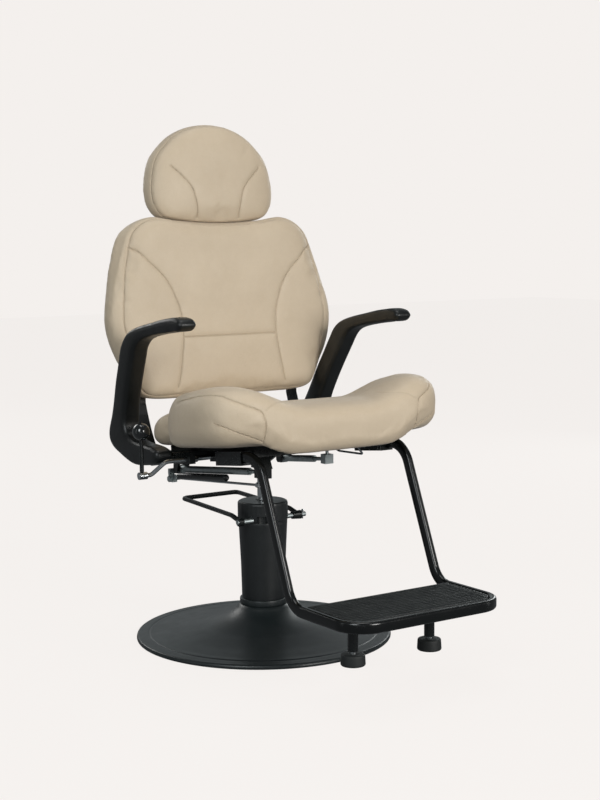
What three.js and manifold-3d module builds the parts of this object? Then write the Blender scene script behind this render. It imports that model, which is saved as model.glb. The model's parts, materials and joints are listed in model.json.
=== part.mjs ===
// Hydraulic barber chair. Millimetres, +Z up. Origin: centre of the base disc on the floor, on the column axis.
// The chair faces -Y and its left-hand side is +X.
import * as THREE from 'three';
import { mergeVertices } from 'three/addons/utils/BufferGeometryUtils.js';
import Module from 'manifold-3d';

const wasm = await Module();
wasm.setup();

// ---------------------------------------------------------------- driving dimensions
const BASE_R = 310;            // base disc radius
const COLUMN_TOP = 333;        // top of the pump head
const HEAD_R = 61;             // pump head radius
const PISTON_R = 12.8;         // lifting piston radius
const GAP = 0.3;               // gap between touching pieces
const SEAT_TILT = Math.atan(0.115);   // the seat drops towards its rear
const SEAT_Z = 470;            // underside of the seat board on the column axis
const BACK_TILT = 5.5 * Math.PI / 180; // the back leans rearwards
const BACK_Y = 176, BACK_Z = 585;     // foot of the back's middle plane
const PIVOT_Y = 125, PIVOT_Z = 440;   // recline axis, along X
const LOCK_X = 150;            // recline locks, either side of the middle
const LOCK_R = 35;             // recline axis to lock pin
const FOOT_X = 200;            // footrest tube centre, either side of the middle
const FOOT_Z = 180;            // footrest tube centre height at the plate
const FOOT_FRONT = -650;       // footrest tube centre at the front
const PEDAL_Y = -30, PEDAL_Z = 292;   // pump pedal axis, along X
const LEVER_Y = -32, LEVER_Z = 456;   // recline lever axis, along X
const ARM_W = 47, ARM_X = 300, ARM_LEAN = 20;

const group = new THREE.Group();

// ---------------------------------------------------------------- helpers
function volume(g) {
  const p = g.getAttribute('position'), ix = g.index;
  const a = new THREE.Vector3(), b = new THREE.Vector3(), c = new THREE.Vector3();
  let v = 0;
  for (let i = 0; i < ix.count; i += 3) {
    a.fromBufferAttribute(p, ix.getX(i)); b.fromBufferAttribute(p, ix.getX(i + 1)); c.fromBufferAttribute(p, ix.getX(i + 2));
    v += a.dot(b.cross(c));
  }
  return v / 6;
}
// shared vertices merged, faces pointing out
function closed(geometry, tol = 1e-3) {
  let g = geometry.clone();
  for (const name of Object.keys(g.attributes)) if (name !== 'position') g.deleteAttribute(name);
  g.clearGroups();
  g = mergeVertices(g, tol);
  const ix = g.index.array, kept = [];
  for (let i = 0; i < ix.length; i += 3) {
    const [a, b, c] = [ix[i], ix[i + 1], ix[i + 2]];
    if (a !== b && b !== c && a !== c) kept.push(a, b, c);
  }
  g.setIndex(kept);
  if (volume(g) < 0) {
    for (let i = 0; i < kept.length; i += 3) [kept[i + 1], kept[i + 2]] = [kept[i + 2], kept[i + 1]];
    g.setIndex(kept);
  }
  return g;
}
function toSolid(geometry) {
  const g = closed(geometry);
  return new wasm.Manifold(new wasm.Mesh({
    numProp: 3,
    vertProperties: new Float32Array(g.getAttribute('position').array),
    triVerts: new Uint32Array(g.index.array),
  }));
}
function fromSolid(m) {
  const mesh = m.getMesh();
  const g = new THREE.BufferGeometry();
  g.setAttribute('position', new THREE.BufferAttribute(new Float32Array(mesh.vertProperties), 3));
  g.setIndex(new THREE.BufferAttribute(new Uint32Array(mesh.triVerts), 1));
  return g;
}
const cut = (a, ...rest) => fromSolid(rest.reduce((m, b) => m.subtract(toSolid(b)), toSolid(a)));
const join = (a, ...rest) => fromSolid(rest.reduce((m, b) => m.add(toSolid(b)), toSolid(a)));

const MATERIALS = {
  leather: [0xc2b096, 0.5, 0], black_paint: [0x1b1f20, 0.42, 0.2], base_paint: [0x20262a, 0.36, 0.25],
  chrome: [0xc9ccce, 0.18, 1], steel: [0x8d9194, 0.35, 1], rubber: [0x161919, 0.8, 0],
  black_plastic: [0x15191a, 0.45, 0], board: [0x1a1a1a, 0.85, 0],
};
function add(name, geometry, material, parent = group) {
  const g = closed(geometry);
  g.computeVertexNormals();
  const [color, roughness, metalness] = MATERIALS[material];
  const mesh = new THREE.Mesh(g, new THREE.MeshStandardMaterial({ color, roughness, metalness }));
  mesh.name = name;
  parent.add(mesh);
  return mesh;
}
const moved = (g, x, y, z) => g.clone().translate(x, y, z);
const box = (x0, x1, y0, y1, z0, z1) => new THREE.BoxGeometry(x1 - x0, y1 - y0, z1 - z0).translate((x0 + x1) / 2, (y0 + y1) / 2, (z0 + z1) / 2);
// cylinders along each axis, between two stations
function cylZ(r0, z0, z1, n = 24, r1 = r0) { return new THREE.CylinderGeometry(r1, r0, z1 - z0, n, 1).rotateX(Math.PI / 2).translate(0, 0, (z0 + z1) / 2); }
function cylX(r, x0, x1, y, z, n = 20, r1 = r) { return new THREE.CylinderGeometry(r1, r, x1 - x0, n, 1).rotateZ(-Math.PI / 2).translate((x0 + x1) / 2, y, z); }
function cylTo(a, b, r, n = 18, r1 = r) {
  const d = new THREE.Vector3().subVectors(b, a);
  const g = new THREE.CylinderGeometry(r1, r, d.length(), n, 1);
  g.applyQuaternion(new THREE.Quaternion().setFromUnitVectors(new THREE.Vector3(0, 1, 0), d.clone().normalize()));
  return g.translate((a.x + b.x) / 2, (a.y + b.y) / 2, (a.z + b.z) / 2);
}
const V = (x, y, z) => new THREE.Vector3(x, y, z);
// a profile of [radius, height] pairs turned about Z
function lathe(profile, n = 48) {
  return new THREE.LatheGeometry(profile.map(([r, z]) => new THREE.Vector2(r, z)), n).rotateX(Math.PI / 2);
}
// a path through given points, taken as they are
class Route extends THREE.Curve {
  constructor(points) { super(); this.points = points; }
  getPoint(t, target = new THREE.Vector3()) {
    const n = this.points.length - 1, k = Math.min(n - 1, Math.floor(t * n + 1e-9));
    return target.lerpVectors(this.points[k], this.points[k + 1], t * n - k);
  }
  getPointAt(u, target) { return this.getPoint(u, target); }
  getTangentAt(u, target = new THREE.Vector3()) {
    const n = this.points.length - 1, k = Math.round(u * n);
    const p = this.points, a = p[Math.max(0, k - 1)], b = p[Math.min(n, k + 1)], m = p[k];
    const d0 = V(0, 0, 0).subVectors(m, a), d1 = V(0, 0, 0).subVectors(b, m);
    if (d0.lengthSq() > 0) d0.normalize();
    if (d1.lengthSq() > 0) d1.normalize();
    return target.addVectors(d0, d1).normalize();
  }
  getTangent(t, target) { return this.getTangentAt(t, target); }
}
// straight runs joined by arcs of the given radii: corners is [[x, y, z, radius], ...]
function bent(corners, steps = 5) {
  const pts = [V(...corners[0])];
  for (let i = 1; i < corners.length - 1; i++) {
    const p = V(...corners[i]), a = V(...corners[i - 1]), b = V(...corners[i + 1]), r = corners[i][3];
    const u = a.clone().sub(p).normalize(), w = b.clone().sub(p).normalize();
    const half = Math.acos(THREE.MathUtils.clamp(u.dot(w), -1, 1)) / 2;
    const t = r / Math.tan(half);
    const mid = u.clone().add(w).normalize();
    const centre = p.clone().addScaledVector(mid, r / Math.sin(half));
    const s = p.clone().addScaledVector(u, t).sub(centre), e = p.clone().addScaledVector(w, t).sub(centre);
    const ang = s.angleTo(e), axis = s.clone().cross(e).normalize();
    for (let k = 0; k <= steps; k++) pts.push(s.clone().applyAxisAngle(axis, ang * k / steps).add(centre));
  }
  pts.push(V(...corners[corners.length - 1]));
  return pts;
}
function sweep(shape, points) {
  return new THREE.ExtrudeGeometry(shape, { steps: points.length - 1, extrudePath: new Route(points), bevelEnabled: false });
}
function roundShape(r, n = 10) {
  const s = new THREE.Shape();
  for (let k = 0; k < n; k++) { const a = 2 * Math.PI * k / n; s[k ? 'lineTo' : 'moveTo'](r * Math.cos(a), r * Math.sin(a)); }
  s.closePath();
  return s;
}
// rectangle w by h with chamfered corners of radius r
function roundedRect(w, h, r, n = 3) {
  const s = new THREE.Shape();
  let first = true;
  for (const [cx, cy, a0] of [[w / 2 - r, h / 2 - r, 0], [-w / 2 + r, h / 2 - r, 90], [-w / 2 + r, -h / 2 + r, 180], [w / 2 - r, -h / 2 + r, 270]]) {
    for (let k = 0; k <= n; k++) {
      const a = (a0 + 90 * k / n) * Math.PI / 180;
      s[first ? 'moveTo' : 'lineTo'](cx + r * Math.cos(a), cy + r * Math.sin(a));
      first = false;
    }
  }
  s.closePath();
  return s;
}
// a polygon in the YZ plane pushed along X from x0 to x1, optionally with rounded edges
function slabX(points, x0, x1, bevel = 0, segments = 2) {
  const s = new THREE.Shape(points.map(([y, z]) => new THREE.Vector2(y, z)));
  const g = new THREE.ExtrudeGeometry(s, bevel
    ? { depth: x1 - x0 - 2 * bevel, steps: 1, bevelEnabled: true, bevelThickness: bevel, bevelSize: bevel, bevelOffset: -bevel, bevelSegments: segments }
    : { depth: x1 - x0, steps: 1, bevelEnabled: false });
  g.translate(0, 0, bevel);
  // local x, y, z -> Y, Z, X
  g.applyMatrix4(new THREE.Matrix4().set(0, 0, 1, x0, 1, 0, 0, 0, 0, 1, 0, 0, 0, 0, 0, 1));
  return g;
}
// rings of equal point count, closed at both ends by a centre point
function loft(rings, first, last) {
  const n = rings[0].length, pos = [], ix = [];
  for (const ring of rings) for (const p of ring) pos.push(p.x, p.y, p.z);
  const a = rings.length * n, b = a + 1;
  pos.push(first.x, first.y, first.z, last.x, last.y, last.z);
  for (let k = 0; k + 1 < rings.length; k++) for (let i = 0; i < n; i++) {
    const j = (i + 1) % n, p = k * n + i, q = k * n + j, r = (k + 1) * n + i, s = (k + 1) * n + j;
    ix.push(p, q, s, p, s, r);
  }
  for (let i = 0; i < n; i++) {
    const j = (i + 1) % n, m = (rings.length - 1) * n;
    ix.push(a, j, i, b, m + i, m + j);
  }
  const g = new THREE.BufferGeometry();
  g.setAttribute('position', new THREE.Float32BufferAttribute(pos, 3));
  g.setIndex(ix);
  return g;
}
// right half of an outline, from the bottom middle round to the top middle, mirrored to a whole one
function mirrored(half) {
  const left = half.filter(([x]) => x > 1e-6).reverse().map(([x, s]) => [-x, s]);
  return [...half, ...left];
}
// a closed smooth curve through the points, resampled to n
function smooth(points, n) {
  const c = new THREE.CatmullRomCurve3(points.map(([x, y]) => V(x, y, 0)), true, 'centripetal');
  return c.getSpacedPoints(n).slice(0, n).map((p) => [p.x, p.y]);
}

// ---------------------------------------------------------------- base and pump
// spun cover, open underneath, with a flared neck round the column
const outer = [[309, 1.0], [310, 4], [308, 10], [283, 12.6], [280.5, 11.6], [278, 13], [215, 20.5], [145, 33.5], [100, 48.5], [72, 65], [57, 80]];
const inner = [[52, 80], [67, 61], [96, 44.5], [143, 29.5], [214, 16.5], [284, 9], [305, 7.2], [305.5, 1.0]];
add('base_cover', lathe([...outer, ...inner, outer[0]], 40), 'base_paint');
add('base_plate', lathe([[0, 0], [302, 0], [302, 6], [0, 6]], 40), 'black_paint');
add('column_collar', lathe([[50, 80.4], [57, 80.4], [58, 83], [58, 92], [56, 95], [50, 95], [50, 80.4]], 32), 'black_paint');
// tapered shroud, wider at the top
add('pump_shroud', lathe([[49.5, 95.4], [52.5, 95.4], [54.5, 180], [59.5, 285], [55.5, 285], [50.5, 180], [49.5, 95.4]], 32), 'black_paint');
add('pump_cylinder', lathe([[0, 6.4], [45, 6.4], [45, 20], [40, 24], [40, 277], [14.6, 277], [14.6, 40], [0, 40]], 24), 'steel');
{
  const body = lathe([[14.0, 277.5], [54.5, 277.5], [54.5, 285.4], [59.5, 285.4], [61, 289], [61, 327], [59.6, 331], [56, 333], [19, 333], [14.0, 331], [14.0, 277.5]], 32);
  // window in the near front wall over the pedal crank
  const win = new THREE.CylinderGeometry(15, 15, 34, 20).rotateX(Math.PI / 2).scale(1, 1, 0.55).rotateZ(-Math.PI * 0.19).translate(-33, -52, 293);
  add('pump_head', cut(body, cylX(6.4, -70, 70, PEDAL_Y, PEDAL_Z, 20), win), 'black_paint');
}

// ---------------------------------------------------------------- pump pedal
{
  const zt = 308;
  const path = bent([[-83, PEDAL_Y + 2, PEDAL_Z + 2], [-83, 10, zt - 5, 26], [-80, 250, zt + 2, 12], [80, 250, zt + 2, 12], [83, 10, zt - 5, 26], [83, PEDAL_Y + 2, PEDAL_Z + 2]], 4);
  const bar = sweep(roundShape(6, 8), path);
  const eyeL = cylX(10, -89, -77, PEDAL_Y, PEDAL_Z, 18), eyeR = cylX(9, 65, 89, PEDAL_Y, PEDAL_Z, 18, 11);
  const hole = cylX(6.3, -100, 100, PEDAL_Y, PEDAL_Z, 20);
  add('pedal_bar', cut(fromSolid(toSolid(bar).add(toSolid(eyeL)).add(toSolid(eyeR))), hole), 'black_paint');
  const pinHole = cylZ(2.1, PEDAL_Z - 12, PEDAL_Z + 12, 10);
  add('pedal_shaft', cut(cylX(6, -92, 103, PEDAL_Y, PEDAL_Z, 16), moved(pinHole, 96, PEDAL_Y, 0)), 'steel');
  add('pedal_split_pin', moved(fromSolid(toSolid(cylZ(1.7, PEDAL_Z - 11, PEDAL_Z + 9, 10)).add(toSolid(new THREE.SphereGeometry(3.4, 10, 8).translate(0, 0, PEDAL_Z + 9.5)))), 96, PEDAL_Y, 0), 'chrome');
}

// ---------------------------------------------------------------- lifting piston
add('piston_rod', lathe([[0, 96], [11.5, 96], [PISTON_R, 98], [PISTON_R, 434], [11.5, 436], [0, 436]], 28), 'chrome');

// ---------------------------------------------------------------- seat frame, all in the seat's tilted frame
// seat group: local y along the seat, local z up from the underside of the seat board
const seat = new THREE.Group();
seat.position.set(0, 0, SEAT_Z);
seat.rotation.x = -SEAT_TILT;
group.add(seat);
seat.updateMatrixWorld(true);
const toSeat = seat.matrixWorld.clone().invert();
const ct = Math.cos(SEAT_TILT);
const sy = (y) => y / ct;      // local y of a world y on the board's plane

add('seat_board', new THREE.ExtrudeGeometry(roundedRect(380, 430, 40, 4), { depth: 12, bevelEnabled: false }).translate(0, -75, GAP), 'board', seat);
{
  // welded frame: two rails, a front cross bar and the arm bar, 20 mm deep
  const z1 = 0, z0 = -20;
  const parts = [box(-253, 253, -22, 22, -17.5, z1), box(-128, -106, -245, 22, z0, z1), box(106, 128, -245, 22, z0, z1), box(-178, 178, -245, -213, z0 + 3, z1),
    box(-184, -144, 18, 60, -17.5, z1), box(144, 184, 18, 60, -17.5, z1),
    box(-228, -214, -46, -20, -28, z1), box(-160, -146, -46, -20, -28, z1)];
  const frame = parts.slice(1).reduce((m, b) => m.add(toSolid(b)), toSolid(parts[0]));
  const ends = [cylX(5.4, -262, -231, 0, -8.75, 16), cylX(5.4, 231, 262, 0, -8.75, 16)];
  let f = frame;
  const lever = V(0, LEVER_Y, LEVER_Z).applyMatrix4(toSeat);
  ends.push(cylX(5.8, -240, -140, lever.y, lever.z, 18));
  for (const e of ends) f = f.subtract(toSolid(e));
  add('seat_frame', fromSolid(f), 'black_paint', seat);
}
{
  // hub: plate under the rails with an upright socket for the piston
  const plate = box(-130, 130, -105, 62, -26.5, -20.5);
  const socket = cylZ(20, 418, 446, 28).applyMatrix4(toSeat);
  const web1 = slabX([[-70, -24], [62, -24], [24, -44], [-24, -44]], -3, 3);
  const bore = cylZ(13.2, 400, 436.4, 28).applyMatrix4(toSeat);
  const m = toSolid(plate).add(toSolid(socket)).add(toSolid(web1)).subtract(toSolid(bore));
  add('seat_hub', fromSolid(m), 'black_paint', seat);
}
// bearing brackets for the recline shaft, hung under the rear of the frame
const pivotLocal = V(0, PIVOT_Y, PIVOT_Z).applyMatrix4(toSeat);
for (const [side, s] of [['left', 1], ['right', -1]]) {
  const p = [[24, -17.9], [60, -17.9], [60, -2], [150, -2], [150, -10], [pivotLocal.y + 17, pivotLocal.z - 6], [pivotLocal.y + 10, pivotLocal.z - 15], [pivotLocal.y - 10, pivotLocal.z - 16], [60, -34], [30, -26]];
  const x0 = s > 0 ? 174 : -182, x1 = s > 0 ? 182 : -174;
  const flange = box(Math.min(s * 169, s * 190), Math.max(s * 169, s * 190), 62, 150, -5, -0.2);
  const hole = cylX(8.4, x0 - 5, x1 + 5, pivotLocal.y, pivotLocal.z, 20);
  add('pivot_bracket_' + side, cut(join(slabX(p.map(([y, z]) => [y, Math.min(z, -0.2)]), x0, x1), flange), hole), 'black_paint', seat);
}

// ---------------------------------------------------------------- seat cushion
const seatHalf = [[0, -352], [100, -350], [180, -344], [228, -335], [266, -321], [295, -297], [312, -258], [319, -200], [313, -130], [297, -73], [273, -31], [246, 1], [230, 30], [226, 62], [229, 98], [222, 128], [199, 160], [160, 180], [80, 183], [0, 184]];
const seatOutline = smooth(mirrored(seatHalf), 36);
const lerpTable = (t, x) => {
  if (x <= t[0][0]) return t[0][1];
  for (let i = 1; i < t.length; i++) if (x <= t[i][0]) { const f = (x - t[i - 1][0]) / (t[i][0] - t[i - 1][0]); return t[i - 1][1] + f * (t[i][1] - t[i - 1][1]); }
  return t[t.length - 1][1];
};
const sstep = (a, b, x) => { const t = THREE.MathUtils.clamp((x - a) / (b - a), 0, 1); return t * t * (3 - 2 * t); };
// the side bolsters' inner faces move outward toward the rear
const bolsterY = [-340, -250, -150, -60, 40];
const bolsterFoot = bolsterY.map((y, i) => [y, [80, 90, 150, 203, 220][i]]), bolsterBrow = bolsterY.map((y, i) => [y, [240, 245, 275, 296, 300][i]]);
const seatTop = (x, y) => lerpTable([[-360, 592], [-280, 595.5], [-130, 580.5], [0, 566], [100, 556], [184, 541]], y) + 45 * sstep(lerpTable(bolsterFoot, y), lerpTable(bolsterBrow, y), Math.abs(x)) * lerpTable([[-340, 0.9], [-290, 1], [-230, 1.04], [-130, 0.93], [-50, 0.74], [0, 0.35], [40, 0]], y);
// the front lip hangs below the board between the side bolsters
const seatBottom = (x, y) => SEAT_Z - 0.115 * y + 13 - 30 * (1 - sstep(-326, -304, y)) * (1 - sstep(130, 235, Math.abs(x)));
{
  // [scale, share of the way from the underside to the top, drop below the top]
  const rows = [[0.55, 0, 0], [0.81, 0.0, 0], [0.935, 0.03, 0], [0.985, 0.15, 0], [1.01, 0.34, 0], [1.01, 0.56, 0], [0.995, 0.76, 0], [0.96, 0.9, 0], [0.9, 0.98, 0], [0.78, 1, 0], [0.45, 1, 0]];
  const c = [0, -95];
  const at = (x, y, f) => { const b = seatBottom(x, y), t = seatTop(x, y); return V(x, y, b + (t - b) * f); };
  const rings = rows.map(([k, f]) => seatOutline.map(([x, y]) => at(c[0] + (x - c[0]) * k, c[1] + (y - c[1]) * k, f)));
  add('seat_cushion', loft(rings, at(...c, 0), at(...c, 1)), 'leather');
}

// ---------------------------------------------------------------- footrest
const tubeZ = (y) => SEAT_Z - 0.115 * y - 14.2;
{
  const path = bent([
    [FOOT_X, -141, tubeZ(-141)], [FOOT_X, -297, tubeZ(-297), 62], [FOOT_X, -424, FOOT_Z, 58], [FOOT_X, FOOT_FRONT, FOOT_Z, 62],
    [-FOOT_X, FOOT_FRONT, FOOT_Z, 62], [-FOOT_X, -424, FOOT_Z, 58], [-FOOT_X, -297, tubeZ(-297), 62], [-FOOT_X, -141, tubeZ(-141)]], 5);
  add('footrest_tube', sweep(roundedRect(15.5, 25, 6, 2), path), 'black_paint');
}
for (const [side, s] of [['left', 1], ['right', -1]]) {
  // sleeve that clamps the tube to the frame
  const x0 = s > 0 ? 178.4 : -211, x1 = s > 0 ? 211 : -178.4;
  const bore = box(s * FOOT_X - 8.2, s * FOOT_X + 8.2, -300, -100, -27.1, -1.3);
  add('footrest_socket_' + side, cut(box(x0, x1, -240, -132, -32, -0.2), bore), 'black_paint', seat);
}
// the space inside the tube loop, with its rounded front corners
const insideLoop = (z0, depth) => new THREE.ExtrudeGeometry(roundedRect(383, 360, 56, 5), { depth, bevelEnabled: false }).translate(0, FOOT_FRONT + 8.3 + 180, z0);
add('footrest_plate', fromSolid(toSolid(insideLoop(FOOT_Z - 8, 4)).intersect(toSolid(box(-191.5, 191.5, -640, -466, FOOT_Z - 10, FOOT_Z)))), 'black_paint');
{
  // ribbed mat: the ribs run across the footrest
  const y0 = -638, y1 = -467, base = FOOT_Z - 3.7, top = FOOT_Z + 12.2, n = 15, pitch = (y1 - y0 - 14) / n;
  const p = [[y0, base], [y1, base], [y1, top - 2.2]];
  for (let k = n - 1; k >= 0; k--) {
    const a = y0 + 7 + pitch * k;
    p.push([a + pitch * 0.86, top - 2.2], [a + pitch * 0.72, top], [a + pitch * 0.2, top], [a + pitch * 0.06, top - 2.2]);
  }
  p.push([y0, top - 2.2]);
  const mat = slabX(p, -191, 191);
  add('footrest_mat', fromSolid(toSolid(mat).intersect(toSolid(insideLoop(FOOT_Z - 10, 40)))), 'rubber');
}
for (const [side, s] of [['left', 1], ['right', -1]]) {
  const x = s * 104, y = -511;
  add('foot_leg_' + side, moved(lathe([[5.4, 92.5], [11.5, 92.5], [11.5, FOOT_Z - 8.4], [5.4, FOOT_Z - 8.4], [5.4, 92.5]], 20), x, y, 0), 'black_paint');
  add('foot_stud_' + side, moved(lathe([[0, 86.5], [8.2, 86.5], [8.2, 91.0], [5.0, 91.4], [5.0, 128], [0, 128]], 18), x, y, 0), 'chrome');
  add('foot_pad_' + side, moved(lathe([[0, 61], [25, 61], [27, 63.5], [26, 83], [24.5, 86.2], [0, 86.2]], 20), x, y, 0), 'rubber');
}

// ---------------------------------------------------------------- arms
const armProfile = [
  [-153, 791.5], [-136, 792.5], [-121, 791], [-82, 786], [-39, 778], [20, 767], [58, 757], [80, 747], [97, 733], [109, 717], [119, 700], [134, 672], [156, 633], [185, 573], 
  [206, 534], [217, 505], [215, 484], [199, 467], [157, 451], [119, 440], [90, 436], [33, 441], [-8, 449], [-21, 460], [-20, 477], [2, 485], [61, 489], [100, 494], 
  [126, 506], [136, 528], [130, 556], [112, 597], [92, 635], [77, 661], [61, 688], [46, 713], [27, 730], [2, 740], [-57, 751], [-114, 758], [-136, 761], [-161, 763], 
  [-171, 769], [-175, 777], [-168, 787]];
for (const [side, s] of [['left', 1], ['right', -1]]) {
  let g = slabX(armProfile, -ARM_W / 2, ARM_W / 2, 6, 1);
  const pos = g.getAttribute('position');
  for (let i = 0; i < pos.count; i++) {
    const z = pos.getZ(i), lean = ARM_LEAN * THREE.MathUtils.clamp((712 - z) / 172, 0, 1);
    pos.setX(i, pos.getX(i) + s * (ARM_X - lean));
  }
  const bz = V(0, 0, 0); bz.set(0, 0, -8.75).applyMatrix4(seat.matrixWorld);
  g = cut(g, cylX(5.4, s > 0 ? 246 : -291, s > 0 ? 291 : -246, bz.y, bz.z, 16));
  add('arm_' + side, g, 'black_plastic');
  // bolt with a spacer collar between the arm and the frame's cross bar
  const bolt = s > 0
    ? join(cylX(5, 235, 287, bz.y, bz.z, 16), cylX(9, 253.4, 256.1, bz.y, bz.z, 16))
    : join(cylX(5, -287, -235, bz.y, bz.z, 16), cylX(9, -256.1, -253.4, bz.y, bz.z, 16));
  add('arm_bolt_' + side, bolt, 'chrome');
}

// ---------------------------------------------------------------- recline locks
// each lock lies along the seat's tilt; its rear end hangs on a pin that swings with the back
const LOCK_SLOPE = 6.2 * Math.PI / 180;
const lockPin = V(0, PIVOT_Y + LOCK_R * Math.sin(13.8 * Math.PI / 180), PIVOT_Z - LOCK_R * Math.cos(13.8 * Math.PI / 180));
const lockDir = V(0, -Math.cos(LOCK_SLOPE), Math.sin(LOCK_SLOPE));     // towards the front
const onLock = (x, d, dz = 0) => V(x, lockPin.y, lockPin.z + dz).addScaledVector(lockDir, d).setX(x);
for (const [side, s] of [['left', 1], ['right', -1]]) {
  const x = s * LOCK_X;
  const front = s < 0 ? 372 : 194;          // front anchor, measured forward from the pin
  const tubeEnd = s < 0 ? 318 : 140;
  // cylinder with a rear eye
  let tube = toSolid(cylTo(onLock(x, -22), onLock(x, tubeEnd), 8.5, 16));
  tube = tube.add(toSolid(cylX(11, x - 9, x + 9, lockPin.y, lockPin.z, 14)));
  tube = tube.subtract(toSolid(cylX(6.6, x - 12, x + 12, lockPin.y, lockPin.z, 12)));
  tube = tube.subtract(toSolid(cylTo(onLock(x, 60), onLock(x, tubeEnd + 5), 5.4, 12)));
  add('lock_cylinder_' + side, fromSolid(tube), 'chrome');
  add('lock_rod_' + side, cylTo(onLock(x, s < 0 ? 210 : 96), onLock(x, front), 4.8, 16), 'steel');
  // front anchor on the frame
  const a = onLock(x, front);
  if (s < 0) {
    const body = fromSolid(toSolid(box(x - 13, x + 13, a.y - 16, a.y + 16, a.z - 14, a.z + 12)).add(toSolid(slabX([[a.y - 20, a.z + 8], [a.y + 30, a.z + 8], [-213.5, 477.2], [-244, 480.8]], x - 13, x + 13))));
    add('lock_anchor_' + side, cut(body, cylTo(onLock(x, front - 40), onLock(x, front + 1), 5.2, 18)), 'black_paint');
  } else {
    // clamp with an upright pin to the seat board
    const body = join(box(x - 12, x + 12, a.y - 10, a.y + 10, a.z - 11, a.z + 12), cylZ(4, a.z + 8, SEAT_Z - 0.115 * a.y - 0.6, 12).translate(x, a.y, 0));
    add('lock_anchor_' + side, cut(body, cylTo(onLock(x, front - 40), onLock(x, front + 1), 5.2, 18)), 'steel');
  }
}


{
  // twin tube and stop rod under the right-hand lock's cylinder, on a common end block
  const x = -LOCK_X - 14;
  add('lock_damper_right', fromSolid(toSolid(cylTo(onLock(x, 18, -15), onLock(x, 236, -15), 8, 18)).add(toSolid(cylTo(onLock(x, 236, -15), onLock(x, 243, -15), 8, 18, 4)))), 'black_paint');
  const block = slabX([[lockPin.y + 2, lockPin.z - 31], [lockPin.y + 20, lockPin.z - 31], [lockPin.y + 24, lockPin.z - 8], [lockPin.y + 23.4, lockPin.z + 0.5], [lockPin.y + 15, lockPin.z + 1.5], [lockPin.y + 14.5, lockPin.z - 13], [lockPin.y + 2, lockPin.z - 13]], -LOCK_X - 23, -LOCK_X - 10);
  const head = cylX(8, -LOCK_X - 29, -LOCK_X - 22.8, lockPin.y + 11, lockPin.z - 23, 6);
  const rodA = V(-LOCK_X - 2, lockPin.y + 10, lockPin.z - 23.5), rodB = V(-LOCK_X - 2, lockPin.y - 352, lockPin.z + 8);
  add('lock_stop_rod_right', fromSolid(toSolid(cylTo(rodA, rodB, 3, 12)).add(toSolid(cylX(5, -LOCK_X - 9.4, -LOCK_X + 3, lockPin.y + 11, lockPin.z - 23, 14))).add(toSolid(cylTo(rodB.clone().lerp(rodA, 0.012), rodB.clone().lerp(rodA, -0.025), 6.5, 6)))), 'chrome');
  const clearDamper = cylTo(onLock(x, 10, -15), onLock(x, 243, -15), 8.4, 18);
  const clearTube = cylTo(onLock(-LOCK_X, -24), onLock(-LOCK_X, 100), 8.9, 18);
  const clearEye = cylX(11.4, -LOCK_X - 30, -LOCK_X + 9, lockPin.y, lockPin.z, 18);
  const pinHole = cylX(5.3, -LOCK_X - 24, -LOCK_X + 4, lockPin.y + 11, lockPin.z - 23, 14);
  add('lock_end_block_right', cut(fromSolid(toSolid(block).add(toSolid(head))), clearDamper, clearTube, clearEye, pinHole), 'steel');
}

// ---------------------------------------------------------------- recline lever
{
  // bent bar from the frame's lugs out past the right arm, then a barrel, an upright rod and a ball
  const y = LEVER_Y, z = LEVER_Z, zb = 429.5, x = -345.5;
  const bar = sweep(roundShape(5.2, 10), bent([[-136, y, z], [-284, y, z, 26], [-322, y, zb, 16], [x + 6, y, zb]], 3));
  add('lever_shaft', join(bar, cylX(7.6, -210, -201, y, z, 12)), 'chrome');
  add('lever_barrel', cut(cylX(8.6, x - 8, x + 12, y, zb, 20), cylX(5.6, x + 5.7, x + 20, y, zb, 16)), 'chrome');
  add('lever_rod', cylTo(V(x, y, zb + 9), V(x, y, 514), 5, 16, 4.4), 'black_paint');
  add('lever_knob', cut(new THREE.SphereGeometry(20, 16, 12).rotateX(Math.PI / 2).translate(x, y, 530.7), cylTo(V(x, y, 500), V(x, y, 514.4), 5.4, 16)), 'black_plastic');
}

// ---------------------------------------------------------------- wire loop handle under the front left of the seat
{
  const path = bent([[131.2, -100, 470], [152, -104, 452, 8], [158, -196, 454, 10], [131.2, -207, 477]], 3);
  add('latch_loop', sweep(roundShape(2.6, 8), path), 'chrome');
}

// ---------------------------------------------------------------- back, in its own leaning frame
// local coordinates: x across, s up the back, t out of its front
const cb = Math.cos(BACK_TILT), sb = Math.sin(BACK_TILT);
const onBack = (x, s, t) => V(x, BACK_Y + s * sb - t * cb, BACK_Z + s * cb + t * sb);
const backMatrix = new THREE.Matrix4().set(1, 0, 0, 0, 0, sb, -cb, BACK_Y, 0, cb, sb, BACK_Z, 0, 0, 0, 1);
const inBack = (g) => { const h = g.clone(); h.applyMatrix4(backMatrix); return h; };   // geometry given as (x, s, t)
const backHalf = [[0, 1], [120, 0], [205, 2], [230, 8], [241, 22], [247, 33], [262, 66], [278, 96], [294, 142], [300, 181], [296, 218], [285, 258], [273, 297], [260, 334], [251, 362], [239, 391], [221, 414], [195, 428], [158, 430], [115, 424], [60, 417], [0, 415]];
const backOutline = smooth(mirrored(backHalf), 38);
// an outline pushed out along its own normals: sideways, at the top (outside a flat middle) and at the bottom
function grown(points, side, top, bottom, middle = 0) {
  return points.map(([x, s], i) => {
    const a = points[(i + points.length - 1) % points.length], b = points[(i + 1) % points.length];
    let nx = b[1] - a[1], ns = a[0] - b[0];
    const l = Math.hypot(nx, ns) || 1;
    nx /= l; ns /= l;
    return [x + nx * side, s + ns * (ns > 0 ? top * sstep(middle - 60, middle, Math.abs(x)) : bottom)];
  });
}
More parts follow.
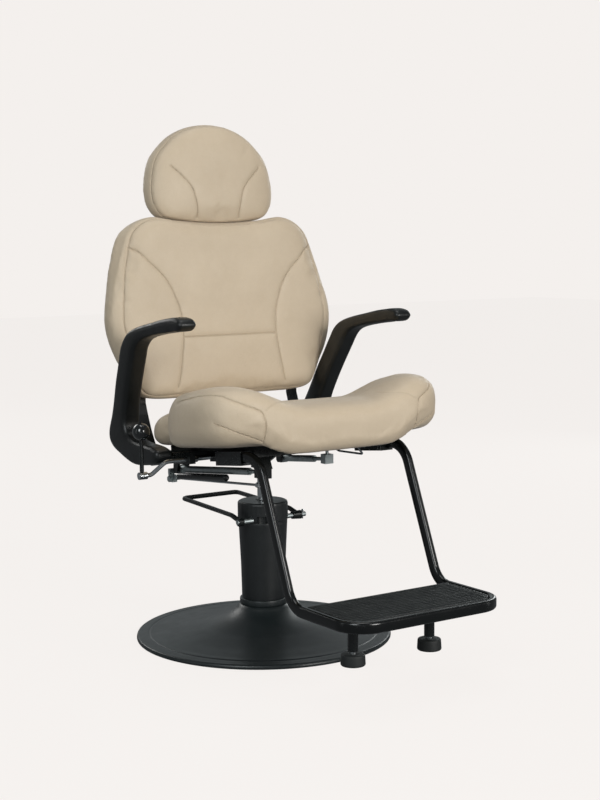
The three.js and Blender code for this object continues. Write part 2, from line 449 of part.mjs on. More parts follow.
// rings from rows of [scale, bulge, t]: the bulge widens the outline between its seams
function cushion(points, centre, bulge, rows, place) {
  const ring = ([k, g, t]) => grown(points, bulge[0] * g, bulge[1] * g, bulge[2] * g, bulge[3]).map(([x, s]) => place(centre[0] + (x - centre[0]) * k, centre[1] + (s - centre[1]) * k, t));
  return loft(rows.map(ring), place(...centre, rows[0][2]), place(...centre, rows[rows.length - 1][2]));
}
const BACK_BULGE = [20, 7, 9, 190];
{
  let m = toSolid(cushion(backOutline, [0, 200], BACK_BULGE, [[0.9, 0.8, -9.7], [0.985, 0.85, -9.7], [1.0, 0.9, -3], [1.0, 1, 10], [1.0, 0.95, 24], [1.0, 0.6, 35], [0.98, 0.1, 42], [0.9, 0, 46], [0.75, 0, 48.2], [0.4, 0, 49.5]], onBack));
  for (const s of [1, -1]) m = m.subtract(toSolid(inBack(box(s * 55 - 9.2, s * 55 + 9.2, 190, 460, -20, 8.2))));
  add('back_cushion', fromSolid(m), 'leather');
}
add('back_board', inBack(new THREE.ExtrudeGeometry(new THREE.Shape(grown(backOutline, -10, -8, -4).map(([x, s]) => new THREE.Vector2(x, s))), { depth: 12, bevelEnabled: false }).translate(0, 0, -22.1)), 'board');
{
  let m = toSolid(cushion(backOutline, [0, 200], BACK_BULGE, [[0.5, 0.7, -37], [0.84, 0.7, -37], [0.915, 0.75, -34.5], [0.94, 0.8, -29], [0.945, 0.8, -22.4], [0.86, 0.8, -22.4]], onBack));
  for (const s of [1, -1]) m = m.subtract(toSolid(inBack(box(s * 222 - 15.4, s * 222 + 15.4, -40, 171.5, -30.8, -20))));
  add('back_rear_panel', fromSolid(m), 'leather');
}
for (const [side, s] of [['left', 1], ['right', -1]]) {
  // flat steel bar: eye on the recline shaft, curving up behind the back board
  const up = (d, t) => { const p = onBack(0, d, t); return [p.y, p.z]; };
  const front = [[PIVOT_Y + 12, PIVOT_Z + 8], [152, 470], [172, 503], [189, 540], [199, 566], up(12, -22.8), up(165, -22.8)];
  const rear = [up(165, -29.2), up(8, -29.2), [206.5, 566], [196.5, 538], [179, 499], [159.5, 466], [PIVOT_Y + 14, PIVOT_Z - 6]];
  const strip = slabX([...front, ...rear], s * 222 - 14, s * 222 + 14);
  const eye = cylX(17, s * 222 - 14, s * 222 + 14, PIVOT_Y, PIVOT_Z, 24);
  add('back_bar_' + side, cut(join(strip, eye), cylX(8.3, s * 222 - 20, s * 222 + 20, PIVOT_Y, PIVOT_Z, 20)), 'black_paint');
}
{
  // recline shaft across the frame, with a nut at each end
  let m = toSolid(cylX(8, -243, 243, PIVOT_Y, PIVOT_Z, 16));
  for (const s of [1, -1]) {
    m = m.add(toSolid(cylX(13, s > 0 ? 236.4 : -246, s > 0 ? 246 : -236.4, PIVOT_Y, PIVOT_Z, 6)));
    m = m.add(toSolid(cylX(9.6, s > 0 ? 186 : -189, s > 0 ? 189 : -186, PIVOT_Y, PIVOT_Z, 14)));
  }
  add('recline_shaft', fromSolid(m), 'chrome');
}
for (const [side, s] of [['left', 1], ['right', -1]]) {
  // forked lever on the shaft that carries the lock's pin
  const x = s * LOCK_X;
  const arm = (x0, x1) => slabX([[PIVOT_Y - 14, PIVOT_Z + 6], [PIVOT_Y + 14, PIVOT_Z + 6], [lockPin.y + 9, lockPin.z - 4], [lockPin.y + 4, lockPin.z - 9], [lockPin.y - 4, lockPin.z - 9], [lockPin.y - 9, lockPin.z - 4]], x0, x1);
  let m = toSolid(arm(x - 16.5, x - 10.5)).add(toSolid(arm(x + 10.5, x + 16.5))).add(toSolid(cylX(15, x - 16.5, x + 16.5, PIVOT_Y, PIVOT_Z, 20))).add(toSolid(cylX(3.6, x - 16.5, x + 16.5, lockPin.y, lockPin.z, 12)));
  m = m.subtract(toSolid(cylX(8.3, x - 20, x + 20, PIVOT_Y, PIVOT_Z, 20)));
  add('lock_lever_' + side, fromSolid(m), 'black_paint');
}
for (const [side, s] of [['left', 1], ['right', -1]]) {
  // guide tube for a headrest post, behind the back's padding
  const ring = lathe([[6.7, 0], [8.6, 0], [8.6, 216], [6.7, 216], [6.7, 0]], 18);       // along local Z
  const g = ring.clone().rotateX(-Math.PI / 2).translate(s * 55, 195, -1);
  add('headrest_guide_' + side, inBack(g), 'steel');
}

// ---------------------------------------------------------------- headrest
const headHalf = [[0, 416], [55, 419], [100, 426], [140, 437], [161, 462], [168, 497], [164, 530], [157, 560], [145, 585], [122, 612], [100, 631], [73, 646], [44, 656], [0, 661]];
const headOutline = smooth(mirrored(headHalf), 32);
{
  const c = [0, 530];
  const shape = headOutline.map(([x, s]) => [x, s + 2]);
  let m = toSolid(cushion(shape, c, [12, 3, 0, 0], [[0.45, 1, -43], [0.82, 1, -41], [0.94, 1.2, -35], [0.99, 1.2, -25], [1.0, 1.1, -8], [1.0, 0.6, 8], [0.985, 0.15, 22], [0.92, 0, 30], [0.74, 0, 34.5], [0.4, 0, 36]], onBack));
  // pocket for the steel yoke, open at the underside
  m = m.subtract(toSolid(inBack(box(-63, 63, 380, 502, -9, 7))));
  add('headrest_cushion', fromSolid(m), 'leather');
  const yoke = fromSolid(toSolid(inBack(cylTo(V(-55, 240, -1), V(-55, 495, -1), 6, 16))).add(toSolid(inBack(cylTo(V(55, 240, -1), V(55, 495, -1), 6, 16)))).add(toSolid(inBack(box(-60, 60, 480, 500, -6, 4)))));
  add('headrest_posts', yoke, 'chrome');
}

export default group;
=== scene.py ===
# Hydraulic barber chair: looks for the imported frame. Metres, +Z up, the chair faces -Y, its left is +X.
import json
import math
import bpy
import bmesh
import numpy as np
from mathutils import Matrix, Vector
from mathutils.bvhtree import BVHTree
from mathutils.kdtree import KDTree


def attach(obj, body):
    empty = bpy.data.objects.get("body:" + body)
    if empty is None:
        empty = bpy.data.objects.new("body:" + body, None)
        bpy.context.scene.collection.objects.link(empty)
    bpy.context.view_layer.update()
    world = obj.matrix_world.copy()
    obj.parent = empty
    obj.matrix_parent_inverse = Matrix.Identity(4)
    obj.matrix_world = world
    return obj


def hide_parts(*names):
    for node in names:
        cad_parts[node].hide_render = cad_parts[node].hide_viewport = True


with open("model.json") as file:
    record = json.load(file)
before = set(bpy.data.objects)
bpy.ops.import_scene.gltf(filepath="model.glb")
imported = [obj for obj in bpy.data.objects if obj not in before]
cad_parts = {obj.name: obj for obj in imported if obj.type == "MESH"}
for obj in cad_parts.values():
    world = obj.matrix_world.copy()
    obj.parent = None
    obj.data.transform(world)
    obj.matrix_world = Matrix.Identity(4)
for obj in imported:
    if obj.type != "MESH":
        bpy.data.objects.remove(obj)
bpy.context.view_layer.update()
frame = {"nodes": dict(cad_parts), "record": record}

NODES = frame["nodes"]

# ------------------------------------------------------------------ small maths
def smoothstep(a, b, x):
    t = np.clip((np.asarray(x, float) - a) / (b - a), 0, 1)
    return t * t * (3 - 2 * t)


def pchip(xs, ys, x):
    """monotone cubic through the points"""
    xs, ys = np.asarray(xs, float), np.asarray(ys, float)
    h, d = np.diff(xs), np.diff(ys) / np.diff(xs)
    m = np.zeros(len(xs))
    m[0], m[-1] = d[0], d[-1]
    for i in range(1, len(xs) - 1):
        if d[i - 1] * d[i] > 0:
            w1, w2 = 2 * h[i] + h[i - 1], h[i] + 2 * h[i - 1]
            m[i] = (w1 + w2) / (w1 / d[i - 1] + w2 / d[i])
    x = np.clip(np.asarray(x, float), xs[0], xs[-1])
    i = np.clip(np.searchsorted(xs, x, side="right") - 1, 0, len(xs) - 2)
    t = (x - xs[i]) / h[i]
    t2, t3 = t * t, t * t * t
    return (2 * t3 - 3 * t2 + 1) * ys[i] + (t3 - 2 * t2 + t) * h[i] * m[i] + (-2 * t3 + 3 * t2) * ys[i + 1] + (t3 - t2) * h[i] * m[i + 1]


def resample(points, n, is_closed=False):
    """n points evenly along a smooth curve through the given ones"""
    P = np.asarray(points, float)
    k = len(P)
    dense = []
    for i in range(k if is_closed else k - 1):
        if is_closed:
            p0, p1, p2, p3 = P[(i - 1) % k], P[i], P[(i + 1) % k], P[(i + 2) % k]
        else:
            p1, p2 = P[i], P[i + 1]
            p0 = P[i - 1] if i else 2 * p1 - p2
            p3 = P[i + 2] if i + 2 < k else 2 * p2 - p1
        t0 = 0.0
        t1 = t0 + max(1e-9, np.linalg.norm(p1 - p0)) ** 0.5
        t2 = t1 + max(1e-9, np.linalg.norm(p2 - p1)) ** 0.5
        t3 = t2 + max(1e-9, np.linalg.norm(p3 - p2)) ** 0.5
        t = np.linspace(t1, t2, 24, endpoint=False)[:, None]
        a1 = (t1 - t) / (t1 - t0) * p0 + (t - t0) / (t1 - t0) * p1
        a2 = (t2 - t) / (t2 - t1) * p1 + (t - t1) / (t2 - t1) * p2
        a3 = (t3 - t) / (t3 - t2) * p2 + (t - t2) / (t3 - t2) * p3
        b1 = (t2 - t) / (t2 - t0) * a1 + (t - t0) / (t2 - t0) * a2
        b2 = (t3 - t) / (t3 - t1) * a2 + (t - t1) / (t3 - t1) * a3
        dense.append((t2 - t) / (t2 - t1) * b1 + (t - t1) / (t2 - t1) * b2)
    D = np.vstack(dense + ([P[:1]] if is_closed else [P[-1:]]))
    s = np.concatenate([[0], np.cumsum(np.linalg.norm(np.diff(D, axis=0), axis=1))])
    u = np.linspace(0, s[-1], n, endpoint=not is_closed)
    return np.stack([np.interp(u, s, D[:, j]) for j in range(D.shape[1])], 1)


def mirrored(half):
    return list(half) + [(-x, s) for x, s in reversed(half) if x > 1e-6]


def line_field(P, lines, far=.08):
    """distance of each point to the nearest of some 3-D lines, and how far along that line it is"""
    pts, run = [], []
    for L in lines:
        L = np.asarray(L, float)
        seg = np.linalg.norm(np.diff(L, axis=0), axis=1)
        s = np.concatenate([[0], np.cumsum(seg)])
        u = np.linspace(0, s[-1], max(2, int(s[-1] / .0004)))
        pts.append(np.stack([np.interp(u, s, L[:, j]) for j in range(3)], 1))
        run.append(u)
    A, U = np.concatenate(pts), np.concatenate(run)
    kd = KDTree(len(A))
    for i, q in enumerate(A.tolist()):
        kd.insert(q, i)
    kd.balance()
    d, along = np.full(len(P), far), np.zeros(len(P))
    lo, hi = A.min(0) - far, A.max(0) + far
    find = kd.find
    for i in np.nonzero(((P > lo) & (P < hi)).all(1))[0].tolist():
        _, k, q = find(P[i])
        if q < far:
            d[i] = q
            along[i] = U[k]
    return d, along


def waves(P, seed, scale, octaves=3):
    """smooth repeatable undulation in 3-D, about -1..1"""
    rng = np.random.default_rng(seed)
    out = np.zeros(len(P))
    amp, tot = 1.0, 0.0
    for o in range(octaves):
        for _ in range(6):
            d = rng.normal(size=3)
            d /= np.linalg.norm(d)
            out += amp / 6 ** 0.5 * np.sin((P @ d) * scale * (2 ** o) * rng.uniform(0.7, 1.3) + rng.uniform(0, 6.28))
        tot += amp
        amp *= 0.5
    return out / tot


# ------------------------------------------------------------------ materials
def new_mat(name):
    m = bpy.data.materials.new(name)
    m.use_nodes = True
    nt = m.node_tree
    nt.nodes.clear()
    out = nt.nodes.new("ShaderNodeOutputMaterial")
    b = nt.nodes.new("ShaderNodeBsdfPrincipled")
    nt.links.new(b.outputs[0], out.inputs[0])
    return m, nt, b


def node(nt, kind, **kw):
    n = nt.nodes.new(kind)
    for k, v in kw.items():
        if k.startswith("in_"):
            key = k[3:]
            n.inputs[int(key) if key.isdigit() else key.replace("_", " ")].default_value = v
        else:
            setattr(n, k, v)
    return n


def coords(nt):
    return nt.nodes.new("ShaderNodeTexCoord").outputs["Object"]


def noise(nt, co, scale, detail=3.0, rough=0.55, kind="FBM"):
    n = node(nt, "ShaderNodeTexNoise")
    n.inputs["Scale"].default_value = scale
    n.inputs["Detail"].default_value = detail
    n.inputs["Roughness"].default_value = rough
    nt.links.new(co, n.inputs["Vector"])
    return n.outputs["Fac"]


def remap(nt, v, a, b, c, d):
    n = node(nt, "ShaderNodeMapRange")
    n.clamp = True
    for i, x in zip((1, 2, 3, 4), (a, b, c, d)):
        n.inputs[i].default_value = x
    nt.links.new(v, n.inputs[0])
    return n.outputs[0]


def mathn(nt, op, a, b=None):
    n = node(nt, "ShaderNodeMath", operation=op)
    for i, v in enumerate((a, b)):
        if v is None:
            continue
        if isinstance(v, (int, float)):
            n.inputs[i].default_value = v
        else:
            nt.links.new(v, n.inputs[i])
    return n.outputs[0]


def mix_rgb(nt, fac, a, b, kind="MIX"):
    n = node(nt, "ShaderNodeMix", data_type="RGBA", blend_type=kind)
    if isinstance(fac, (int, float)):
        n.inputs[0].default_value = fac
    else:
        nt.links.new(fac, n.inputs[0])
    for i, v in ((6, a), (7, b)):
        if isinstance(v, (tuple, list)):
            n.inputs[i].default_value = (*v[:3], 1)
        else:
            nt.links.new(v, n.inputs[i])
    return n.outputs[2]


def bump(nt, height, strength, distance, normal=None):
    n = node(nt, "ShaderNodeBump")
    n.inputs["Strength"].default_value = strength
    n.inputs["Distance"].default_value = distance
    nt.links.new(height, n.inputs["Height"])
    if normal is not None:
        nt.links.new(normal, n.inputs["Normal"])
    return n.outputs[0]


def srgb(r, g, b):
    return tuple(((c / 255 + 0.055) / 1.055) ** 2.4 if c > 10.3 else c / 255 / 12.92 for c in (r, g, b))


LEATHER = srgb(197, 180, 156)
LEATHER_DARK = srgb(172, 154, 129)


def leather(name, seam_attr=True):
    m, nt, b = new_mat(name)
    co = coords(nt)
    # soft mottling over the hide
    broad = noise(nt, co, 7.0, 3, 0.5)
    fine = noise(nt, co, 60.0, 4, 0.6)
    col = mix_rgb(nt, remap(nt, broad, 0.35, 0.65, 0.0, 0.22), LEATHER, LEATHER_DARK)
    col = mix_rgb(nt, remap(nt, fine, 0.4, 0.75, 0.0, 0.10), col, srgb(214, 200, 180))
    # pebbled grain
    warp = node(nt, "ShaderNodeMix", data_type="VECTOR")
    warp.inputs[0].default_value = 0.0012
    wn = node(nt, "ShaderNodeTexNoise")
    wn.inputs["Scale"].default_value = 240
    nt.links.new(co, wn.inputs["Vector"])
    nt.links.new(co, warp.inputs[4])
    nt.links.new(wn.outputs["Color"], warp.inputs[5])
    cell = node(nt, "ShaderNodeTexVoronoi", feature="DISTANCE_TO_EDGE")
    cell.inputs["Scale"].default_value = 620
    nt.links.new(warp.outputs[1], cell.inputs["Vector"])
    crease = remap(nt, cell.outputs["Distance"], 0.0, 0.16, 0.0, 1.0)
    # painted shade: the creases of the grain are darkened
    col = mix_rgb(nt, remap(nt, crease, 0.0, 0.7, 0.16, 0.0), col, srgb(120, 102, 80))
    if seam_attr:
        # painted shade along the seam grooves, read from the seam attribute
        at = node(nt, "ShaderNodeAttribute", attribute_name="seam")
        col = mix_rgb(nt, mathn(nt, "MULTIPLY", at.outputs["Fac"], 0.62), col, srgb(96, 80, 60))
    nt.links.new(col, b.inputs["Base Color"])
    nt.links.new(remap(nt, noise(nt, co, 26.0, 4, 0.6), 0.3, 0.7, 0.44, 0.60), b.inputs["Roughness"])
    n1 = bump(nt, crease, 0.35, 0.00022)
    n2 = bump(nt, noise(nt, co, 95.0, 5, 0.6), 0.30, 0.0012, n1)
    n3 = bump(nt, noise(nt, co, 14.0, 3, 0.55), 0.22, 0.006, n2)
    nt.links.new(n3, b.inputs["Normal"])
    b.inputs["Specular IOR Level"].default_value = 0.42
    b.inputs["Sheen Weight"].default_value = 0.12
    b.inputs["Sheen Roughness"].default_value = 0.45
    return m


def thread(name):
    m, nt, b = new_mat(name)
    co = coords(nt)
    w = noise(nt, co, 900.0, 2, 0.5)
    nt.links.new(mix_rgb(nt, w, srgb(178, 160, 134), srgb(210, 194, 170)), b.inputs["Base Color"])
    nt.links.new(bump(nt, w, 0.5, 0.0003), b.inputs["Normal"])
    b.inputs["Roughness"].default_value = 0.75
    b.inputs["Sheen Weight"].default_value = 0.25
    return m


def paint(name, base, rough, scale=420.0, orange=0.0005, wear=0.25, tint=(60, 66, 68), coat=0.0):
    """powder coat or satin lacquer: a fine orange-peel surface, a little dust and worn high spots"""
    m, nt, b = new_mat(name)
    co = coords(nt)
    dust = noise(nt, co, 9.0, 5, 0.62)
    speck = noise(nt, co, 300.0, 3, 0.6)
    col = mix_rgb(nt, remap(nt, dust, 0.42, 0.72, 0.0, wear), srgb(*base), srgb(*tint))
    col = mix_rgb(nt, remap(nt, speck, 0.66, 0.8, 0.0, 0.06), col, srgb(80, 84, 84))
    nt.links.new(col, b.inputs["Base Color"])
    nt.links.new(remap(nt, noise(nt, co, 22.0, 5, 0.65), 0.3, 0.72, rough - 0.03, rough + 0.06), b.inputs["Roughness"])
    peel = noise(nt, co, scale, 2, 0.5)
    n1 = bump(nt, peel, 0.22, orange)
    nt.links.new(bump(nt, noise(nt, co, 40.0, 3, 0.5), 0.012, 0.002, n1), b.inputs["Normal"])
    b.inputs["Specular IOR Level"].default_value = 0.5
    if coat:
        b.inputs["Coat Weight"].default_value = coat
        b.inputs["Coat Roughness"].default_value = 0.18
    return m


def plastic(name, base, rough):
    """moulded polyurethane with a fine spark texture"""
    m, nt, b = new_mat(name)
    co = coords(nt)
    spark = node(nt, "ShaderNodeTexVoronoi", feature="SMOOTH_F1")
    spark.inputs["Scale"].default_value = 900
    nt.links.new(co, spark.inputs["Vector"])
    blot = noise(nt, co, 12.0, 4, 0.6)
    nt.links.new(mix_rgb(nt, remap(nt, blot, 0.4, 0.72, 0.0, 0.35), srgb(*base), srgb(20, 24, 24)), b.inputs["Base Color"])
    nt.links.new(remap(nt, noise(nt, co, 30.0, 4, 0.6), 0.3, 0.7, rough - 0.06, rough + 0.10), b.inputs["Roughness"])
    n1 = bump(nt, spark.outputs["Distance"], 0.28, 0.00035)
    nt.links.new(bump(nt, noise(nt, co, 55.0, 3, 0.5), 0.10, 0.0015, n1), b.inputs["Normal"])
    return m


def rubber(name, base=(20, 24, 24), rough=0.72):
    m, nt, b = new_mat(name)
    co = coords(nt)
    dust = noise(nt, co, 35.0, 5, 0.65)
    nt.links.new(mix_rgb(nt, remap(nt, dust, 0.42, 0.75, 0.0, 0.5), srgb(*base), srgb(36, 40, 39)), b.inputs["Base Color"])
    nt.links.new(remap(nt, dust, 0.3, 0.7, rough - 0.1, rough + 0.08), b.inputs["Roughness"])
    nt.links.new(bump(nt, noise(nt, co, 520.0, 3, 0.6), 0.4, 0.0004), b.inputs["Normal"])
    return m


def chrome(name, tone=(198, 202, 204), rough=0.16, brushed=False):
    m, nt, b = new_mat(name)
    co = coords(nt)
    smear = noise(nt, co, 55.0, 5, 0.65)
    nt.links.new(mix_rgb(nt, remap(nt, smear, 0.45, 0.8, 0.0, 0.45), srgb(*tone), srgb(128, 132, 134)), b.inputs["Base Color"])
    nt.links.new(remap(nt, smear, 0.3, 0.75, rough - 0.05, rough + 0.16), b.inputs["Roughness"])
    scr = noise(nt, co, 700.0 if not brushed else 1500.0, 3, 0.7)
    nt.links.new(bump(nt, scr, 0.12 if not brushed else 0.3, 0.0002), b.inputs["Normal"])
    b.inputs["Metallic"].default_value = 1.0
    return m


def gloss_ball(name):
    m, nt, b = new_mat(name)
    co = coords(nt)
    s = noise(nt, co, 80.0, 4, 0.6)
    nt.links.new(mix_rgb(nt, remap(nt, s, 0.4, 0.8, 0.0, 0.3), srgb(14, 17, 18), srgb(30, 34, 35)), b.inputs["Base Color"])
    nt.links.new(remap(nt, s, 0.3, 0.7, 0.07, 0.16), b.inputs["Roughness"])
    nt.links.new(bump(nt, noise(nt, co, 120.0, 2, 0.5), 0.03, 0.0005), b.inputs["Normal"])
    b.inputs["Coat Weight"].default_value = 0.6
    b.inputs["Coat Roughness"].default_value = 0.05
    return m


def board(name):
    m, nt, b = new_mat(name)
    co = coords(nt)
    weave = noise(nt, co, 650.0, 3, 0.6)
    blot = noise(nt, co, 11.0, 4, 0.6)
    nt.links.new(mix_rgb(nt, remap(nt, blot, 0.4, 0.7, 0, 0.6), srgb(18, 20, 20), srgb(34, 36, 35)), b.inputs["Base Color"])
    nt.links.new(bump(nt, weave, 0.5, 0.0006), b.inputs["Normal"])
    b.inputs["Roughness"].default_value = 0.92
    return m


M = {
    "leather": leather("leather_beige"),
    "thread": thread("thread_beige"),
    "tube_paint": paint("gloss_black_tube", (5, 7, 7), 0.20, orange=0.00014, wear=0.10, tint=(28, 32, 32)),
    "paint": paint("satin_black_frame", (12, 15, 15), 0.27, orange=0.00014, wear=0.16, tint=(34, 38, 38)),
    "pump": paint("satin_black_pump", (20, 23, 24), 0.40, orange=0.0003, wear=0.16, tint=(38, 42, 43)),
    "base": paint("base_black", (24, 30, 31), 0.37, scale=520.0, orange=0.0003, wear=0.22, tint=(40, 48, 49)),
    "plastic": plastic("arm_polyurethane", (7, 10, 10), 0.38),
    "rubber": rubber("mat_rubber"),
    "mat": rubber("mat_ribbed_rubber", (12, 16, 16), 0.44),
    "pad": rubber("foot_rubber", (20, 23, 23), 0.66),
    "chrome": chrome("chrome"),
    "steel": chrome("zinc_steel", (186, 194, 194), 0.42, True),
    "ball": gloss_ball("gloss_ball"),
    "board": board("black_board"),
    "pipe": plastic("piping_brown", (74, 60, 44), 0.5),
}


# ------------------------------------------------------------------ mesh helpers
def make(name, verts, faces, mat, body, smooth=True):
    me = bpy.data.meshes.new(name)
    me.from_pydata([tuple(v) for v in verts], [], [tuple(int(i) for i in f) for f in faces])
    me.validate()
    me.update()
    o = bpy.data.objects.new(name, me)
    bpy.context.scene.collection.objects.link(o)
    for p in me.polygons:
        p.use_smooth = smooth
    me.materials.append(mat)
    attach(o, body)
    return o


def outward(o):
    bm = bmesh.new()
    bm.from_mesh(o.data)
    bmesh.ops.recalc_face_normals(bm, faces=bm.faces)
    bm.to_mesh(o.data)
    bm.free()


def ring_faces(nr, n, closed_ring=True, cap=True):
    f = []
    for k in range(nr - 1):
        for i in range(n):
            j = (i + 1) % n
            f.append((k * n + i, k * n + j, (k + 1) * n + j, (k + 1) * n + i))
    if cap:
        a, b = nr * n, nr * n + 1
        for i in range(n):
            j = (i + 1) % n
            f.append((a, j, i))
            f.append((b, (nr - 1) * n + i, (nr - 1) * n + j))
    return f


def grown(P, side, top, bottom, middle):
    a, b = np.roll(P, 1, 0), np.roll(P, -1, 0)
    nx, ns = b[:, 1] - a[:, 1], a[:, 0] - b[:, 0]
    l = np.hypot(nx, ns)
    nx, ns = nx / l, ns / l
    lift = top * smoothstep(middle - 60, max(middle, 1e-6), np.abs(P[:, 0])) if middle else top
    return np.stack([P[:, 0] + nx * side, P[:, 1] + ns * np.where(ns > 0, lift, bottom)], 1)


def dense_rows(rows, n, weight):
    """rows of numbers, interpolated smoothly at even steps of the weighted length along them"""
    R = np.asarray(rows, float)
    step = np.sqrt(((np.diff(R, axis=0) * np.asarray(weight)) ** 2).sum(1))
    s = np.concatenate([[0], np.cumsum(step)])
    u = np.linspace(0, s[-1], n)
    return np.stack([pchip(s, R[:, j], u) for j in range(R.shape[1])], 1), u


def set_attr(o, name, values):
    at = o.data.attributes.get(name) or o.data.attributes.new(name, "FLOAT", "POINT")
    at.data.foreach_set("value", np.asarray(values, np.float32))


def co_of(o):
    co = np.zeros(len(o.data.vertices) * 3)
    o.data.vertices.foreach_get("co", co)
    return co.reshape(-1, 3)


def normals_of(o):
    no = np.zeros(len(o.data.vertices) * 3)
    o.data.vertices.foreach_get("normal", no)
    return no.reshape(-1, 3)


def set_co(o, co):
    o.data.vertices.foreach_set("co", np.asarray(co, np.float32).ravel())
    o.data.update()


def tree_of(o):
    me = o.data
    return BVHTree.FromPolygons([v.co.copy() for v in me.vertices], [tuple(p.vertices) for p in me.polygons])


def stitches(name, tree, lines, body, length=0.0042, pitch=0.0066, radius=0.00055):
    """thread stitches laid on a surface along 3-D lines, each line a list of points"""
    V, Fc = [], []
    n = 6
    for line in lines:
        P = np.asarray(line, float)
        seg = np.linalg.norm(np.diff(P, axis=0), axis=1)
        s = np.concatenate([[0], np.cumsum(seg)])
        count = int(s[-1] / pitch)
        for k in range(count):
            u = (k + 0.5) * pitch
            a = np.array([np.interp(u - length / 2, s, P[:, j]) for j in range(3)])
            b = np.array([np.interp(u + length / 2, s, P[:, j]) for j in range(3)])
            mid = (a + b) / 2
            loc, nor, _, _ = tree.find_nearest(Vector(mid))
            if loc is None:
                continue
            nor = np.array(nor)
            t = b - a
            t = t - nor * (t @ nor)
            L = np.linalg.norm(t)
            if L < 1e-6:
                continue
            t /= L
            w = np.cross(nor, t)
            c = np.array(loc) + nor * radius * 0.55
            base = len(V)
            for q, r, dz in ((-0.5, 0.35, -0.9), (-0.38, 0.9, -0.25), (0.0, 1.0, 0.15), (0.38, 0.9, -0.25), (0.5, 0.35, -0.9)):
                for i in range(n):
                    an = 2 * math.pi * i / n
                    V.append(c + t * q * length + nor * radius * dz + (w * math.cos(an) + nor * math.sin(an)) * radius * r)
            for q in range(4):
                for i in range(n):
                    j = (i + 1) % n
                    Fc.append((base + q * n + i, base + q * n + j, base + (q + 1) * n + j, base + (q + 1) * n + i))
            Fc.append(tuple(base + i for i in reversed(range(n))))
            Fc.append(tuple(base + 4 * n + i for i in range(n)))
    return make(name, V, Fc, M["thread"], body)


def tube_along(name, P, r, mat, body, sides=12, is_closed=False, flat=None):
    """round tube along points, or a rounded-rectangle one when flat=(width, height, corner, up vector)"""
    P = np.asarray(P, float)
    n = len(P)
    if flat:
        w, h, c = flat[:3]
        sec = []
        for cx, cy, a0 in ((w / 2 - c, h / 2 - c, 0), (-w / 2 + c, h / 2 - c, 90), (-w / 2 + c, -h / 2 + c, 180), (w / 2 - c, -h / 2 + c, 270)):
            for k in range(6):
                a = math.radians(a0 + 90 * k / 5)
                sec.append((cx + c * math.cos(a), cy + c * math.sin(a)))
        sec = np.array(sec)
    else:
        a = np.linspace(0, 2 * math.pi, sides, endpoint=False)
        sec = np.stack([np.cos(a), np.sin(a)], 1) * r
    T = np.zeros_like(P)
    for i in range(n):
        a = P[(i - 1) % n] if (i or is_closed) else P[0]
        b = P[(i + 1) % n] if (i + 1 < n or is_closed) else P[-1]
        T[i] = (b - a) / np.linalg.norm(b - a)
    if flat and len(flat) > 3:
        A = np.array(flat[3], float)
        X = A[None] - T * (T @ A)[:, None] if A.ndim == 1 else A - T * (T * A).sum(1)[:, None]
    else:
        X = np.zeros_like(P)
        up = np.array([0, 0, 1.0]) if abs(T[0][2]) < 0.9 else np.array([1.0, 0, 0])
        x = np.cross(T[0], up)
        for i in range(n):
            x = x - T[i] * (x @ T[i])
            x /= np.linalg.norm(x)
            X[i] = x
    X /= np.linalg.norm(X, axis=1)[:, None]
    Y = np.cross(T, X)
    V = np.concatenate([P[i] + sec[:, :1] * X[i] + sec[:, 1:] * Y[i] for i in range(n)])
    m = len(sec)
    Fc = []
    for i in range(n if is_closed else n - 1):
        for k in range(m):
            l = (k + 1) % m
            i2 = (i + 1) % n
            Fc.append((i * m + k, i * m + l, i2 * m + l, i2 * m + k))
    if not is_closed:
        Fc.append(tuple(reversed(range(m))))
        Fc.append(tuple((n - 1) * m + k for k in range(m)))
    o = make(name, V, Fc, mat, body)
    outward(o)
    return o


def lathe(name, profile, mat, body, n=128, centre=(0, 0), sharp=35):
    """profile of (radius, height) in mm about Z; closed if it starts and ends on the axis or at the same point"""
    P = np.asarray(profile, float) * 0.001
    loop = np.allclose(P[0], P[-1]) and P[0][0] > 1e-6
    if loop:
        P = P[:-1]
    V, Fc, idx = [], [], []
    for r, z in P:
        if r < 1e-6:
            idx.append([len(V)] * n)
            V.append((centre[0], centre[1], z))
        else:
            idx.append(list(range(len(V), len(V) + n)))
            for i in range(n):
                a = 2 * math.pi * i / n
                V.append((centre[0] + r * math.cos(a), centre[1] + r * math.sin(a), z))
    pairs = list(zip(range(len(P) - 1), range(1, len(P)))) + ([(len(P) - 1, 0)] if loop else [])
    for a, b in pairs:
        for i in range(n):
            j = (i + 1) % n
            f = [idx[a][i], idx[a][j], idx[b][j], idx[b][i]]
            g = []
            for q in f:
                if q not in g:
                    g.append(q)
            if len(g) >= 3:
                Fc.append(g)
    o = make(name, V, Fc, mat, body)
    outward(o)
    o.data.set_sharp_from_angle(angle=math.radians(sharp))
    return o


def soften(o, width=0.0008, segments=2, angle=32):
    b = o.modifiers.new("edge", "BEVEL")
    b.width = width
    b.segments = segments
    b.limit_method = "ANGLE"
    b.angle_limit = math.radians(angle)
    b.harden_normals = True
    for p in o.data.polygons:
        p.use_smooth = True
    o.data.set_sharp_from_angle(angle=math.radians(angle))


